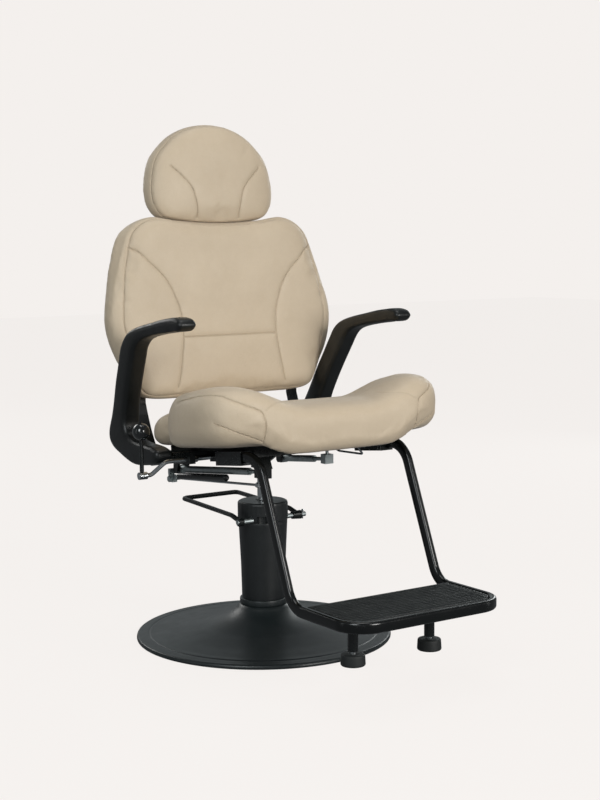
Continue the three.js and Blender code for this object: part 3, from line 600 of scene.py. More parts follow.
# ------------------------------------------------------------------ cushion simulation
def inflate(o, voxel, cap, pressure=4.0, frames=20, keep=None):
    """voxel remesh, inflate as cloth, limit how far each point moves, then smooth and subdivide once"""
    src = o.copy()
    src.data = o.data.copy()
    bpy.context.scene.collection.objects.link(src)
    src.parent = None
    bpy.context.view_layer.objects.active = src
    rm = src.modifiers.new("r", "REMESH")
    rm.mode = "VOXEL"
    rm.voxel_size = voxel
    rm.adaptivity = 0
    sm = src.modifiers.new("s", "SMOOTH")
    sm.factor, sm.iterations = 0.5, 8
    dg = bpy.context.evaluated_depsgraph_get()
    me = bpy.data.meshes.new_from_object(src.evaluated_get(dg))
    src.modifiers.clear()
    src.data = me
    rest = co_of(src)
    cl = src.modifiers.new("c", "CLOTH")
    st = cl.settings
    st.quality = 6
    st.mass = 0.4
    st.tension_stiffness = st.compression_stiffness = 40
    st.shear_stiffness = 20
    st.bending_stiffness = 6
    st.use_pressure = True
    st.uniform_pressure_force = pressure
    st.effector_weights.gravity = 0
    cl.collision_settings.use_collision = False
    cl.collision_settings.use_self_collision = False
    cl.point_cache.frame_start, cl.point_cache.frame_end = 1, frames
    sc = bpy.context.scene
    for f in range(1, frames + 1):
        sc.frame_set(f)
    dg = bpy.context.evaluated_depsgraph_get()
    ev = src.evaluated_get(dg)
    out = np.zeros(len(ev.data.vertices) * 3)
    ev.data.vertices.foreach_get("co", out)
    out = out.reshape(-1, 3)
    move = out - rest
    if keep is not None:
        move *= keep(rest)[:, None]
    l = np.linalg.norm(move, axis=1)
    move *= np.minimum(1, cap / np.maximum(l, 1e-9))[:, None]
    src.modifiers.clear()
    sc.frame_set(1)
    set_co(src, rest + move)
    sd = src.modifiers.new("d", "SUBSURF")
    sd.levels = sd.render_levels = 1
    dg = bpy.context.evaluated_depsgraph_get()
    me = bpy.data.meshes.new_from_object(src.evaluated_get(dg))
    mats = list(o.data.materials)
    old = o.data
    o.data = me
    me.materials.clear()
    for mt in mats:
        me.materials.append(mt)
    for p in me.polygons:
        p.use_smooth = True
        p.material_index = 0
    bpy.data.objects.remove(src)
    return o

# ------------------------------------------------------------------ seat cushion
SEAT_HALF = [(0, -352), (100, -350), (180, -344), (228, -335), (266, -321), (295, -297), (312, -258), (319, -200), (313, -130), (297, -73), (273, -31), (246, 1), (230, 30), (226, 62), (229, 98), (222, 128), (199, 160), (160, 180), (80, 183), (0, 184)]
SEAT_ROWS = [(.55, 0), (.81, 0), (.935, .03), (.985, .15), (1.01, .34), (1.01, .56), (.995, .76), (.96, .9), (.9, .98), (.78, 1), (.45, 1)]


def seat_top(x, y):
    mid = pchip([-360, -280, -130, 0, 100, 184], [592, 595.5, 580.5, 566, 549, 528], y)
    pod = pchip([-340, -290, -230, -130, -50, 0, 40], [.9, 1, 1.04, .93, .74, .35, 0], y)
    foot, brow = (pchip([-340, -250, -150, -60, 40], v, y) for v in ([80, 90, 150, 203, 220], [240, 245, 275, 296, 300]))
    w = np.clip((np.abs(x) - foot) / (brow - foot), 0, 1)
    return mid + 45 * w * w * (3 - 2 * w) * pod


def seat_bottom(x, y):
    return 470 - .115 * y + 13 - 30 * (1 - smoothstep(-326, -304, y)) * (1 - smoothstep(118, 255, np.abs(x)))


def build_seat():
    n = 480
    O = resample(mirrored(SEAT_HALF), n, True)
    rows, _ = dense_rows([(k, f) for k, f in SEAT_ROWS], 84, (330, 110))
    V = []
    for k, f in rows:
        x, y = O[:, 0] * k, -95 + (O[:, 1] + 95) * k
        b, t = seat_bottom(x, y), seat_top(x, y)
        V.append(np.stack([x, y, b + (t - b) * f], 1))
    # inner rings so the top is evenly meshed
    inner = []
    for k in np.linspace(.45, .02, 30)[1:]:
        x, y = O[:, 0] * k, -95 + (O[:, 1] + 95) * k
        inner.append(np.stack([x, y, seat_top(x, y)], 1))
    V = V + inner
    V = np.concatenate(V) * .001
    nr = len(rows) + len(inner)
    cb = [0, -.095, float(seat_bottom(0, -95)) * .001]
    ct = [0, -.095, float(seat_top(0, -95)) * .001]
    V = np.vstack([V, [cb], [ct]])
    o = make("seat_cushion_leather", V, ring_faces(nr, n), M["leather"], "seat")
    outward(o)
    return o


# panel seams in the seat: (line, groove depth, width, stitched both sides)
def both(L):
    return [list(L), [(-x, y, z) for x, y, z in L]]


SEAT_EDGE = [(.300, -.120, .600), (.3045, -.160, .610), (.303, -.204, .618), (.293, -.251, .624), (.280, -.280, .623), (.271, -.298, .619), (.248, -.320, .609), (.227, -.331, .601), (.215, -.3365, .594), (.210, -.340, .580), (.208, -.341, .566), (.208, -.339, .549), (.208, -.334, .533), (.207, -.327, .518)]
SEAT_LOW = [(.302, -.285, .570), (.288, -.303, .563), (.261, -.321, .549), (.229, -.330, .534), (.209, -.332, .524)]
SEAT_MID = [(.134, -.275, .612), (.141, -.304, .612), (.158, -.320, .611), (.180, -.328, .607), (.205, -.3345, .596)]
SEAT_FRONT = [(-.208, -.3405, .572), (-.15, -.347, .578), (-.08, -.350, .581), (0, -.3515, .582), (.08, -.350, .581), (.15, -.347, .578), (.208, -.3405, .572)]


def snap(tree, L, n=120):
    """a seam line pulled onto a surface"""
    out = []
    for p in resample(L, n) if len(L) < n else L:
        loc, nor, _, _ = tree.find_nearest(Vector(p))
        out.append((np.array(loc), np.array(nor)))
    return out


def offset_line(tree, L, side, n=120):
    """the line moved sideways over the surface by side metres"""
    S = snap(tree, L, n)
    P = np.array([s[0] for s in S])
    N = np.array([s[1] for s in S])
    T = np.gradient(P, axis=0)
    T /= np.maximum(np.linalg.norm(T, axis=1), 1e-7)[:, None]
    W = np.cross(N, T)
    Q = P + W * side
    return [np.array(tree.find_nearest(Vector(q))[0]) for q in Q]


def refine(o, lines, passes):
    """split the faces near the seams, so that a groove a few millimetres wide has enough of them"""
    bm = bmesh.new()
    bm.from_mesh(o.data)
    for reach, target in passes:
        bm.verts.ensure_lookup_table()
        P = np.array([v.co for v in bm.verts])
        d = line_field(P, lines, reach)[0]
        near = d < reach
        es = [e for e in bm.edges if (near[e.verts[0].index] or near[e.verts[1].index]) and e.calc_length() > target]
        if es:
            r = bmesh.ops.subdivide_edges(bm, edges=es, cuts=1, use_grid_fill=True)
            fresh = {v for v in r["geom_inner"] if isinstance(v, bmesh.types.BMVert)}
            ring = set(fresh)
            for v in fresh:
                for e in v.link_edges:
                    ring.add(e.other_vert(v))
            ring = list(ring)
            for _ in range(3):
                bmesh.ops.smooth_vert(bm, verts=ring, factor=.5, use_axis_x=True, use_axis_y=True, use_axis_z=True)
        bm.verts.index_update()
    bm.to_mesh(o.data)
    bm.free()
    for p in o.data.polygons:
        p.use_smooth = True


def finish_cushion(o, name, body, deep, shallow, stitched, seed, puff=0.0030, reach=0.05, gap=0.0034, depth=0.0019, front=None, lay_amp=.0009, seam_shade=.62):
    """press the seams in, let the panels stand up between them, paint shade into the seam grooves, and stitch along
    them
    """
    tree = tree_of(o)
    lines = [np.array([s[0] for s in snap(tree, L, 160)]) for L in deep]
    soft = [np.array([s[0] for s in snap(tree, L, 160)]) for L in shallow]
    refine(o, lines + soft, [(.014, .0028), (.008, .0014)])
    P, N = co_of(o), normals_of(o)
    d1, along = line_field(P, lines)
    d2 = line_field(P, soft)[0] if soft else np.full(len(P), .08)
    g, wide, g2 = np.exp(-(d1 / .0013) ** 2), np.exp(-(d1 / .0065) ** 2), np.exp(-(d2 / .0020) ** 2)
    d = np.clip(np.minimum(d1, d2) / reach, 0, 1)
    face = smoothstep(.35, .8, N @ np.array(front)) if front is not None else np.ones(len(P))
    rise = puff * np.sqrt(np.clip(1 - (1 - d) ** 2, 0, 1)) * face
    # fine pull marks either side of each seam
    pull = np.exp(-((d1 - .006) / .004) ** 2) * (0.5 + 0.5 * np.sin(along * 2 * math.pi / .0156 + 1.7 * np.sin(along * 61 + seed)))
    lay = waves(P, seed, 26, 3) * lay_amp + waves(P, seed + 5, 90, 2) * .00016
    move = rise - depth * g - .0010 * wide - .0007 * g2 - .00022 * pull + lay * np.clip(d * 1.5, 0.2, 1)
    set_co(o, P + N * move[:, None])
    # painted shade along the seam grooves, darkest on the deep seams and lighter on the soft ones; the leather reads
    # it as the seam attribute
    set_attr(o, "seam", np.clip(g * seam_shade + 0.05 * wide + (0.16 * g2 if soft else 0), 0, 1))
    tree = tree_of(o)
    rows = []
    for L in stitched:
        for side in (-gap, gap):
            rows.append(offset_line(tree, L, side))
    return stitches(name, tree, rows, body, length=.0034, pitch=.0052, radius=.00045)


seat = build_seat()
inflate(seat, .006, .0035, keep=lambda P: smoothstep(.50, .545, P[:, 2]) * (1 - smoothstep(.02, .11, P[:, 1])))
seat_lines = both(SEAT_EDGE) + both(SEAT_LOW)
seat_soft = both(SEAT_MID)
seat_thread = finish_cushion(seat, "seat_stitching", "seat", seat_lines, seat_soft, both(SEAT_EDGE) + both(SEAT_LOW), 3, puff=.0010, reach=.045, front=(0, -.35, .94), seam_shade=.40)
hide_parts("seat_cushion")

# ------------------------------------------------------------------ backrest cushion
TILT = math.radians(5.5)
SIN, COS = math.sin(TILT), math.cos(TILT)
BACK_HALF = [(0, 1), (120, 0), (205, 2), (230, 8), (241, 22), (247, 33), (262, 66), (278, 96), (294, 142), (300, 181), (296, 218), (285, 258), (273, 297), (260, 334), (251, 362), (239, 391), (221, 411), (195, 424), (158, 427), (115, 423.5), (60, 419.4), (0, 418)]
BACK_ROWS = [(.5, .80, -21.4), (.87, .80, -21.4), (.935, .80, -20.8), (.962, .82, -17), (.985, .86, -10), (1, .92, -2), (1, 1, 8), (1, 1, 15), (1, .95, 24), (1, .6, 35), (.98, .1, 42), (.9, 0, 46), (.75, 0, 48.2), (.4, 0, 49.5)]


def on_back(x, s, t):
    return np.stack([x, 176 + s * SIN - t * COS, 585 + s * COS + t * SIN], 1) * .001


def back_point(x, z, t=50):
    """a point on the back's front face from the side-on x and z, in metres"""
    s = (z * 1000 - 585 - t * SIN) / COS
    return (x, (176 + s * SIN - t * COS) * .001, z)


def swell(s, t):
    """the back's side band is wider toward the rear in its upper half"""
    return 1 + .062 * smoothstep(200, 365, s) * (1 - smoothstep(390, 440, s)) * float(1 - smoothstep(-14, 26, t))


def swollen(P, t):
    P = np.array(P, float)
    P[:, 0] *= swell((P[:, 2] * 1000 - 585 - t * SIN) / COS, t)
    return P


def build_back(rows_in, name, centre=(0, 200), n=480, count=70, steps=30, half=BACK_HALF, bulge=(20, 7, 9, 190), place=on_back, weight=(300, 20, 1), body="back", mat=None):
    O = resample(mirrored(half), n, True)
    rows, _ = dense_rows(rows_in, count, weight)
    V = []
    for k, g, t in rows:
        G = grown(O, bulge[0] * g, bulge[1] * g, bulge[2] * g, bulge[3])
        x, s = centre[0] + (G[:, 0] - centre[0]) * k, centre[1] + (G[:, 1] - centre[1]) * k
        if body == "back":
            x = x * swell(s, t)
        V.append(place(x, s, np.full(n, t)))
    kf, gf, tf = rows_in[-1]
    for k in np.linspace(kf, .02, steps)[1:]:
        G = grown(O, bulge[0] * gf, bulge[1] * gf, bulge[2] * gf, bulge[3])
        x, s = centre[0] + (G[:, 0] - centre[0]) * k, centre[1] + (G[:, 1] - centre[1]) * k
        V.append(place(x, s, np.full(n, tf)))
    V = np.concatenate(V)
    nr = len(rows) + steps - 1
    c = np.array([[0.0, centre[1]]])
    V = np.vstack([V, place(c[:, 0], c[:, 1], np.array([rows_in[0][2]])), place(c[:, 0], c[:, 1], np.array([tf]))])
    o = make(name, V, ring_faces(nr, n), mat or M["leather"], body)
    outward(o)
    return o


def back_lines():
    side = [(.275, .949), (.262, .944), (.24, .934), (.216, .911), (.188, .886), (.165, .857), (.148, .82), (.137, .785), (.134, .727), (.14, .683), (.147, .64), (.155, .606)]
    a = [back_point(x, z) for x, z in side]
    b = [(-x, y, z) for x, y, z in a]
    cross = [back_point(x, .727) for x in (-.134, -.09, -.045, 0, .045, .09, .134)]
    return [a, b, cross]


def edge_line(half, bulge, k, g, t, centre, place, lift=0.0):
    O = resample(mirrored(half), 240, True)
    G = grown(O, bulge[0] * g, bulge[1] * g, bulge[2] * g, bulge[3])
    x, s = centre[0] + (G[:, 0] - centre[0]) * k, centre[1] + (G[:, 1] - centre[1]) * k
    P = place(x, s, np.full(len(O), t))
    return np.vstack([P, P[:1]])


BULGE = (20, 7, 9, 190)
back = build_back(BACK_ROWS, "back_cushion_leather")
inflate(back, .0055, .0045, keep=lambda P: smoothstep(.02, .045, ((.176 + (P[:, 2] - .585) / COS * SIN) - P[:, 1])))


def back_edge_line():
    """the face's edge seam: well inside at the sides, out on the edge along the top and the bottom"""
    O = resample(mirrored(BACK_HALF), 240, True)
    w = smoothstep(40, 120, O[:, 1]) * (1 - smoothstep(190, 400, O[:, 1]))
    g = .55 - .5 * w
    a = [grown(O, BULGE[0] * q, BULGE[1] * q, BULGE[2] * q, BULGE[3]) for q in (0, 1)]
    G = a[0] + (a[1] - a[0]) * g[:, None]
    k = 1.0 - .042 * w ** 2
    P = on_back(G[:, 0] * k, 200 + (G[:, 1] - 200) * k, 36 + 7.5 * w)
    return np.vstack([P, P[:1]])


back_edge = back_edge_line()
back_panel = back_lines()
# only the sides of the edge seam show stitches: the bottom and the top run under
back_thread = finish_cushion(back, "back_stitching", "back", back_panel + [back_edge], [], back_panel + [back_edge], 11, puff=.0028, reach=.06, front=(0, -1, 0), seam_shade=.32)
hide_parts("back_cushion", "back_board")

REAR_ROWS = [(.5, .7, -37.4), (.84, .7, -37), (.915, .75, -34.5), (.94, .8, -29), (.945, .8, -22.9), (.93, .8, -21.8), (.5, .8, -21.8)]
rear = build_back(REAR_ROWS, "back_rear_leather", n=300, count=24, steps=16)
P, N = co_of(rear), normals_of(rear)
set_co(rear, P + N * (waves(P, 21, 22, 3) * .0007 * (N[:, 1] > .5))[:, None])
rear_edge = swollen(edge_line(BACK_HALF, BULGE, .865, .7, -37.2, (0, 200), on_back), -37.2)
rear_thread = stitches("back_rear_stitching", tree_of(rear), [rear_edge], "back")
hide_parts("back_rear_panel")
welt = tube_along("back_welt", swollen(edge_line(BACK_HALF, BULGE, .945, .8, -21.6, (0, 200), on_back), -21.6)[:-1], .0026, M["pipe"], "back", sides=14, is_closed=True)

# ------------------------------------------------------------------ headrest cushion
HEAD_HALF = [(0, 416), (55, 418), (100, 422.5), (140, 432), (161, 459), (168, 498), (164, 531), (157, 561), (145, 586), (122, 612), (100, 631), (73, 646), (44, 656), (0, 661)]
HEAD_ROWS = [(.45, 1, -43), (.82, 1, -41), (.94, 1.2, -35), (.985, 1.15, -27), (1, 1.0, -16), (1, .85, -4), (1, .7, 5), (.995, .5, 11), (.97, .2, 18), (.92, 0, 24.5), (.82, 0, 30), (.62, 0, 34.5), (.4, 0, 36)]
HB = (12, 3, 0, 0)
head = build_back(HEAD_ROWS, "headrest_leather", centre=(0, 530), n=360, count=60, steps=24, half=HEAD_HALF, bulge=HB, weight=(170, 12, 1), body="headrest")
inflate(head, .005, .0025, keep=lambda P: smoothstep(1.005, 1.02, P[:, 2]))


def head_point(x, z, t=34):
    s = (z * 1000 - 585 - t * SIN) / COS
    return (x, (176 + s * SIN - t * COS) * .001, z)


head_seam = [head_point(x, z, t) for x, z, t in ((.125, 1.140, 26), (.12, 1.135, 28), (.096, 1.114, 33), (.074, 1.088, 35), (.065, 1.059, 35), (.06, 1.03, 33), (.06, 1.012, 31))]
head_dart = [head_point(x, z, t) for x, z, t in ((.098, 1.137, 31), (.115, 1.147, 28), (.131, 1.156, 22))]
head_edge = edge_line(HEAD_HALF, HB, .998, .6, 8.5, (0, 530), on_back)
head_back = edge_line(HEAD_HALF, HB, .975, 1.2, -30, (0, 530), on_back)
hl = both(head_seam) + [head_edge, head_back]
head_thread = finish_cushion(head, "headrest_stitching", "headrest", hl, [], hl, 17, puff=.0020, reach=.04, gap=.003, front=(0, -1, 0), lay_amp=.0006, seam_shade=.24)
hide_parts("headrest_cushion")

# ------------------------------------------------------------------ moulded arms
ARM = [(-153, 791.5), (-136, 792.5), (-121, 791), (-82, 786), (-39, 778), (20, 767), (58, 757), (80, 747), (97, 733), (109, 717), (119, 700), (134, 672), (156, 633), (185, 573), (206, 534), (217, 505), (215, 484), (199, 467), (157, 451), (119, 440), (90, 436), (33, 441), (-8, 449), (-21, 460), (-20, 477), (2, 485), (61, 489), (100, 494), (126, 506), (136, 528), (130, 556), (112, 597), (92, 635), (77, 661), (61, 688), (46, 713), (27, 730), (2, 740), (-57, 751), (-114, 758), (-136, 761), (-161, 763), (-171, 769), (-175, 777), (-168, 787)]


def arm_x(z):
    return 300 - 20 * np.clip((712 - z) / 172, 0, 1)


def inset(P, d):
    """closed outline moved inwards along its normals; the outline runs either way round"""
    a, b = np.roll(P, 1, 0), np.roll(P, -1, 0)
    t = b - a
    t /= np.linalg.norm(t, axis=1)[:, None]
    area = 0.5 * np.sum(P[:, 0] * np.roll(P[:, 1], -1) - np.roll(P[:, 0], -1) * P[:, 1])
    nrm = np.stack([-t[:, 1], t[:, 0]], 1) * (1 if area > 0 else -1)
    return P + nrm * d


def build_arm(side, sgn):
    n = 420
    O = resample(ARM, n, True)
    W, R = 23.5, 11.0
    rows = []
    for k in range(9):
        a = math.pi / 2 * k / 8
        rows.append((R * (1 - math.sin(a)), W - R + R * math.cos(a)))
    # from the outer face's edge over the rim to the inner face
    outer = [(R * (1 - math.cos(math.pi / 2 * k / 8)) * 1.0, W - R * (1 - math.sin(math.pi / 2 * k / 8))) for k in range(9)]
    prof = [(R + 3.5, W + 0.5), (R * .96 + 1, W + .15)]
    for k in range(10):
        a = math.pi / 2 * (1 - k / 9)
        prof.append((R * (1 - math.cos(a)), W - R + R * math.sin(a)))
    prof += [(-.25, W * .25), (-.35, 0), (-.25, -W * .25)]
    for k in range(10):
        a = math.pi / 2 * k / 9
        prof.append((R * (1 - math.cos(a)), -(W - R + R * math.sin(a))))
    prof += [(R * .96 + 1, -W - .15), (R + 3.5, -W - .5)]
    V = []
    for d, h in prof:
        I = inset(O, d)
        x = sgn * (arm_x(I[:, 1]) + h)
        V.append(np.stack([x, I[:, 0], I[:, 1]], 1))
    V = np.concatenate(V) * .001
    nr = len(prof)
    Fc = ring_faces(nr, n, cap=False)
    bm = bmesh.new()
    vs = [bm.verts.new(v) for v in V]
    for f in Fc:
        bm.faces.new([vs[i] for i in f])
    # faces of the two sides as fans split by triangulation
    for base in (0, (nr - 1) * n):
        ring = [vs[base + i] for i in range(n)]
        es = []
        for i in range(n):
            e = bm.edges.get((ring[i], ring[(i + 1) % n])) or bm.edges.new((ring[i], ring[(i + 1) % n]))
            es.append(e)
        bmesh.ops.triangle_fill(bm, use_beauty=True, use_dissolve=False, edges=es)
    bmesh.ops.recalc_face_normals(bm, faces=bm.faces)
    me = bpy.data.meshes.new("arm_" + side + "_moulded")
    bm.to_mesh(me)
    bm.free()
    for p in me.polygons:
        p.use_smooth = True
    o = bpy.data.objects.new("arm_" + side + "_moulded", me)
    bpy.context.scene.collection.objects.link(o)
    me.materials.append(M["plastic"])
    me.set_sharp_from_angle(angle=math.radians(50))
    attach(o, "seat")
    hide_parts("arm_" + side)
    return o


arms = [build_arm("left", 1), build_arm("right", -1)]

# ------------------------------------------------------------------ base, pump and other turned parts
base_outer = [(309, 1), (309.7, 2), (310, 4), (309.6, 7), (308, 10), (305, 11.2), (300, 11.5), (283, 12.6), (281.6, 12.2), (280.5, 11.6), (279.4, 12.0), (278, 13), (262, 14.6), (240, 17.3), (215, 20.5), (190, 24.6), (165, 29.3), (145, 33.5), (122, 40.2), (100, 48.5), (86, 55.4), (76, 61.8), (72, 65), (66, 70.6), (60.5, 77), (57, 80)]
base_outer = [tuple(p) for p in resample(base_outer, 150)]
base_inner = [(50, 80), (50, 74), (66, 61), (96, 44), (143, 29.6), (213, 16.8), (279, 9), (302, 6), (303, 1)]
base = lathe("base_disc", base_outer + base_inner + [base_outer[0]], M["base"], "base", n=200, sharp=50)
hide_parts("base_cover")

collar = lathe("column_collar_turned", [(47.6, 80.4), (56.2, 80.4), (57.6, 81.2), (58, 82.8), (58, 92.4), (57.4, 94.2), (55.8, 95), (47.6, 95), (47.6, 80.4)], M["base"], "base", n=128)
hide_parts("column_collar")
shroud_outer = [(52.5, 95.4), (52.7, 97), (53.1, 120), (54.5, 180), (57.1, 235), (59.2, 278), (59.5, 283.6), (59.1, 285)]
shroud = lathe("pump_shroud_turned", shroud_outer + [(55.0, 285), (54.7, 280), (50.3, 180), (48.4, 96.2), (49.0, 95.4), (52.5, 95.4)], M["pump"], "base", n=128, sharp=50)
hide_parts("pump_shroud")

SLOT_LOOK = {"leather": "leather", "black_paint": "paint", "base_paint": "base", "chrome": "chrome", "steel": "steel", "rubber": "pad", "black_plastic": "plastic", "board": "board"}
LOOK = {q["node"]: SLOT_LOOK[q["material_slot"]] for q in frame["record"]["subparts"]}
LOOK.update({"pump_head": "pump", "column_collar": "base", "lock_cylinder_left": "steel", "lock_cylinder_right": "steel"})
REPLACED = ("seat_cushion", "back_cushion", "back_board", "back_rear_panel", "headrest_cushion", "arm_left", "arm_right", "base_cover", "column_collar", "pump_shroud",
            "footrest_tube", "footrest_mat", "foot_pad_left", "foot_pad_right", "lever_knob")
KEEP = {n: LOOK[n] for n in sorted(NODES) if n not in REPLACED}
EDGE = {"latch_loop": 0, "lock_rod_left": 0, "lock_rod_right": 0, "headrest_posts": 0, "piston_rod": .0006}
for n, m in KEEP.items():
    if n not in NODES:
        continue
    o = NODES[n]
    o.data.materials.clear()
    o.data.materials.append(M[m])
    w = EDGE.get(n, .0008)
    for p in o.data.polygons:
        p.use_smooth = True
        p.material_index = 0
    if w:
        b = o.modifiers.new("edge", "BEVEL")
        b.width = w
        b.segments = 2
        b.limit_method = "ANGLE"
        b.angle_limit = math.radians(33)
        b.harden_normals = True
    o.data.set_sharp_from_angle(angle=math.radians(33))

# ------------------------------------------------------------------ footrest
def fillet_path(pts, step=7.0):
    """points (y, z, radius) joined by straight runs and arcs, evenly spaced"""
    out = [np.array(pts[0][:2], float)]
    for i in range(1, len(pts) - 1):
        p, a, b = (np.array(pts[i][:2], float), np.array(pts[i - 1][:2], float), np.array(pts[i + 1][:2], float))
        u, v = (a - p) / np.linalg.norm(a - p), (b - p) / np.linalg.norm(b - p)
        ang = math.acos(np.clip(u @ v, -1, 1))
        r = pts[i][2]
        t = r / math.tan(ang / 2)
        c = p + (u + v) / np.linalg.norm(u + v) * r / math.sin(ang / 2)
        s, e = p + u * t, p + v * t
        a0, a1 = math.atan2(*(s - c)[::-1]), math.atan2(*(e - c)[::-1])
        while a1 - a0 > math.pi:
            a1 -= 2 * math.pi
        while a1 - a0 < -math.pi:
            a1 += 2 * math.pi
        n = max(6, int(abs(a1 - a0) * r / step) + 1)
        for k in range(n + 1):
            a = a0 + (a1 - a0) * k / n
            out.append(c + r * np.array([math.cos(a), math.sin(a)]))
    out.append(np.array(pts[-1][:2], float))
    P = np.array(out)
    d = np.concatenate([[True], np.linalg.norm(np.diff(P, axis=0), axis=1) > 1e-3])
    return P[d]


def fillet3(pts, step=5.0):
    out = [np.array(pts[0][:3], float)]
    for i in range(1, len(pts) - 1):
        p, a, b = (np.array(pts[i][:3], float), np.array(pts[i - 1][:3], float), np.array(pts[i + 1][:3], float))
        u, v = (a - p) / np.linalg.norm(a - p), (b - p) / np.linalg.norm(b - p)
        ang = math.acos(np.clip(u @ v, -1, 1))
        r = pts[i][3]
        t = r / math.tan(ang / 2)
        w = (u + v) / np.linalg.norm(u + v)
        c = p + w * r / math.sin(ang / 2)
        s, e = p + u * t - c, p + v * t - c
        n = max(10, int((math.pi - ang) * r / step) + 1)
        tot = math.pi - ang
        for k in range(n + 1):
            q = k / n
            out.append(c + (s * math.sin((1 - q) * tot) + e * math.sin(q * tot)) / math.sin(tot))
    out.append(np.array(pts[-1][:3], float))
    P = [out[0]]
    for q in out[1:]:
        d = np.linalg.norm(q - P[-1])
        if d > 1e-3:
            m = max(1, int(d / 18))
            a = P[-1].copy()
            for k in range(1, m + 1):
                P.append(a + (q - a) * k / m)
    return np.array(P)


def tube_z(y):
    return 470 - .115 * y - 14.2


loop = fillet3([(200, -141, tube_z(-141)), (200, -297, tube_z(-297), 62), (200, -424, 180, 58), (200, -650, 180, 62),
                (-200, -650, 180, 62), (-200, -424, 180, 58), (-200, -297, tube_z(-297), 62), (-200, -141, tube_z(-141))], 3.0)
T = np.gradient(loop, axis=0)
T /= np.linalg.norm(T, axis=1)[:, None]
A = np.cross(T, [0, 0, 1.0])
A /= np.linalg.norm(A, axis=1)[:, None]
tube = tube_along("footrest_tube_bent", loop * .001, 0, M["tube_paint"], "seat", flat=(.0155, .025, .006, A))
tube.data.set_sharp_from_angle(angle=math.radians(50))
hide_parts("footrest_tube")


def mat_half(y):
    d = np.clip(-585.7 - y, 0, 55.99)
    return np.minimum(191, 135.5 + np.sqrt(56 ** 2 - d ** 2) - .3)


def build_mat():
    y0, y1, base, top = -637.7, -467.0, 176.3, 192.0
    ys = np.concatenate([[y0] * 3, np.linspace(y0 + .8, y1 - .8, 560), [y1] * 3])
    nx = 61
    us = np.linspace(-1, 1, nx)
    us = np.sign(us) * (1 - (1 - np.abs(us)) ** 1.25)
    V, cols = [], []
    pitch = (y1 - y0 - 16) / 14
    for r, y in enumerate(ys):
        hw = float(mat_half(np.array(y)))
        row = []
        for u in us:
            x = u * hw
            edge = min(hw - abs(x), y - y0, y1 - y)
            rib = 0.5 + 0.5 * math.cos(2 * math.pi * (y - y0 - 8) / pitch)
            rib = rib ** .7
            inside = float(smoothstep(5.5, 7.5, edge))
            z = top - .3 - (4.4 * (1 - rib) * inside) - (1.0 * float(smoothstep(4.0, 5.0, edge)) * (1 - inside))
            z -= 1.6 * (1 - float(smoothstep(0, 1.8, edge))) ** 2
            row.append((x, y, z))
        if r in (0, len(ys) - 1):
            row = [(x, y, base) for x, y, z in row]
        elif r in (1, len(ys) - 2):
            row = [(x, y, top - 4) for x, y, z in row]
        V += row
    n = len(ys)
    Fc = []
    for r in range(n - 1):
        for c in range(nx - 1):
            Fc.append((r * nx + c, r * nx + c + 1, (r + 1) * nx + c + 1, (r + 1) * nx + c))
    # skirt down both sides and the underside
    b0 = len(V)
    for r, y in enumerate(ys):
        hw = float(mat_half(np.array(y)))
        V += [(-hw, y, base), (hw, y, base)]
    for r in range(n - 1):
        Fc.append((r * nx, (r + 1) * nx, b0 + 2 * (r + 1), b0 + 2 * r))
        Fc.append((r * nx + nx - 1, b0 + 2 * r + 1, b0 + 2 * (r + 1) + 1, (r + 1) * nx + nx - 1))
        Fc.append((b0 + 2 * r, b0 + 2 * (r + 1), b0 + 2 * (r + 1) + 1, b0 + 2 * r + 1))
    o = make("footrest_mat_ribbed", np.array(V, float) * .001, Fc, M["mat"], "seat")
    bm = bmesh.new()
    bm.from_mesh(o.data)
    bmesh.ops.remove_doubles(bm, verts=bm.verts, dist=1e-6)
    bmesh.ops.recalc_face_normals(bm, faces=bm.faces)
    bm.to_mesh(o.data)
    bm.free()
    for p in o.data.polygons:
        p.use_smooth = True
    o.data.set_sharp_from_angle(angle=math.radians(55))
    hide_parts("footrest_mat")
    return o


mat = build_mat()

# levelling feet
for side, s in (("left", 1), ("right", -1)):
    prof = [(0, 61), (20, 61), (22, 61.3), (22.6, 62.2), (23.6, 62.2), (24.4, 61.3), (25.2, 61.5), (26.6, 62.9), (27, 64.5), (26.9, 67), (26.3, 78), (25.9, 83), (25.4, 85.2), (24.2, 86.1), (14, 86.2), (0, 86.2)]
    o = lathe("foot_pad_%s_moulded" % side, prof, M["pad"], "foot_" + side, n=72, centre=(s * .104, -.511), sharp=45)
    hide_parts("foot_pad_" + side)

# ball on the recline lever
def ball_profile(r=20.0, hole=5.4, zc=530.7, zhole=514.4):
    pts = [(0, zc + r)]
    a_end = math.asin((hole + .5) / r)
    for k in range(1, 41):
        a = (math.pi - a_end) * k / 40
        pts.append((r * math.sin(a), zc + r * math.cos(a)))
    pts += [(hole + .1, zc - r * math.cos(a_end) + .3), (hole, zc - r * math.cos(a_end) + 1.0), (hole, zhole), (0, zhole)]
    return pts


knob = lathe("lever_knob_ball", ball_profile(), M["ball"], "lever", n=72, centre=(-.3455, -.032), sharp=40)
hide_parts("lever_knob")

# ------------------------------------------------------------------ surroundings
BG = srgb(244, 240, 237)


def paper(name, diffuse):
    """pale paper with a glow of its own, so that it stays even and shows only a faint contact shadow"""
    m = bpy.data.materials.new(name)
    m.use_nodes = True
    nt = m.node_tree
    nt.nodes.clear()
    out = nt.nodes.new("ShaderNodeOutputMaterial")
    em = nt.nodes.new("ShaderNodeEmission")
    em.inputs[0].default_value = (*BG, 1)
    if diffuse:
        add = nt.nodes.new("ShaderNodeAddShader")
        df = nt.nodes.new("ShaderNodeBsdfDiffuse")
        em.inputs[1].default_value = 1.0 - diffuse * FLOOR_LIGHT
        df.inputs[0].default_value = (diffuse * .95, diffuse * .95, diffuse * .95, 1)
        nt.links.new(em.outputs[0], add.inputs[0])
        nt.links.new(df.outputs[0], add.inputs[1])
        nt.links.new(add.outputs[0], out.inputs[0])
    else:
        nt.links.new(em.outputs[0], out.inputs[0])
    return m


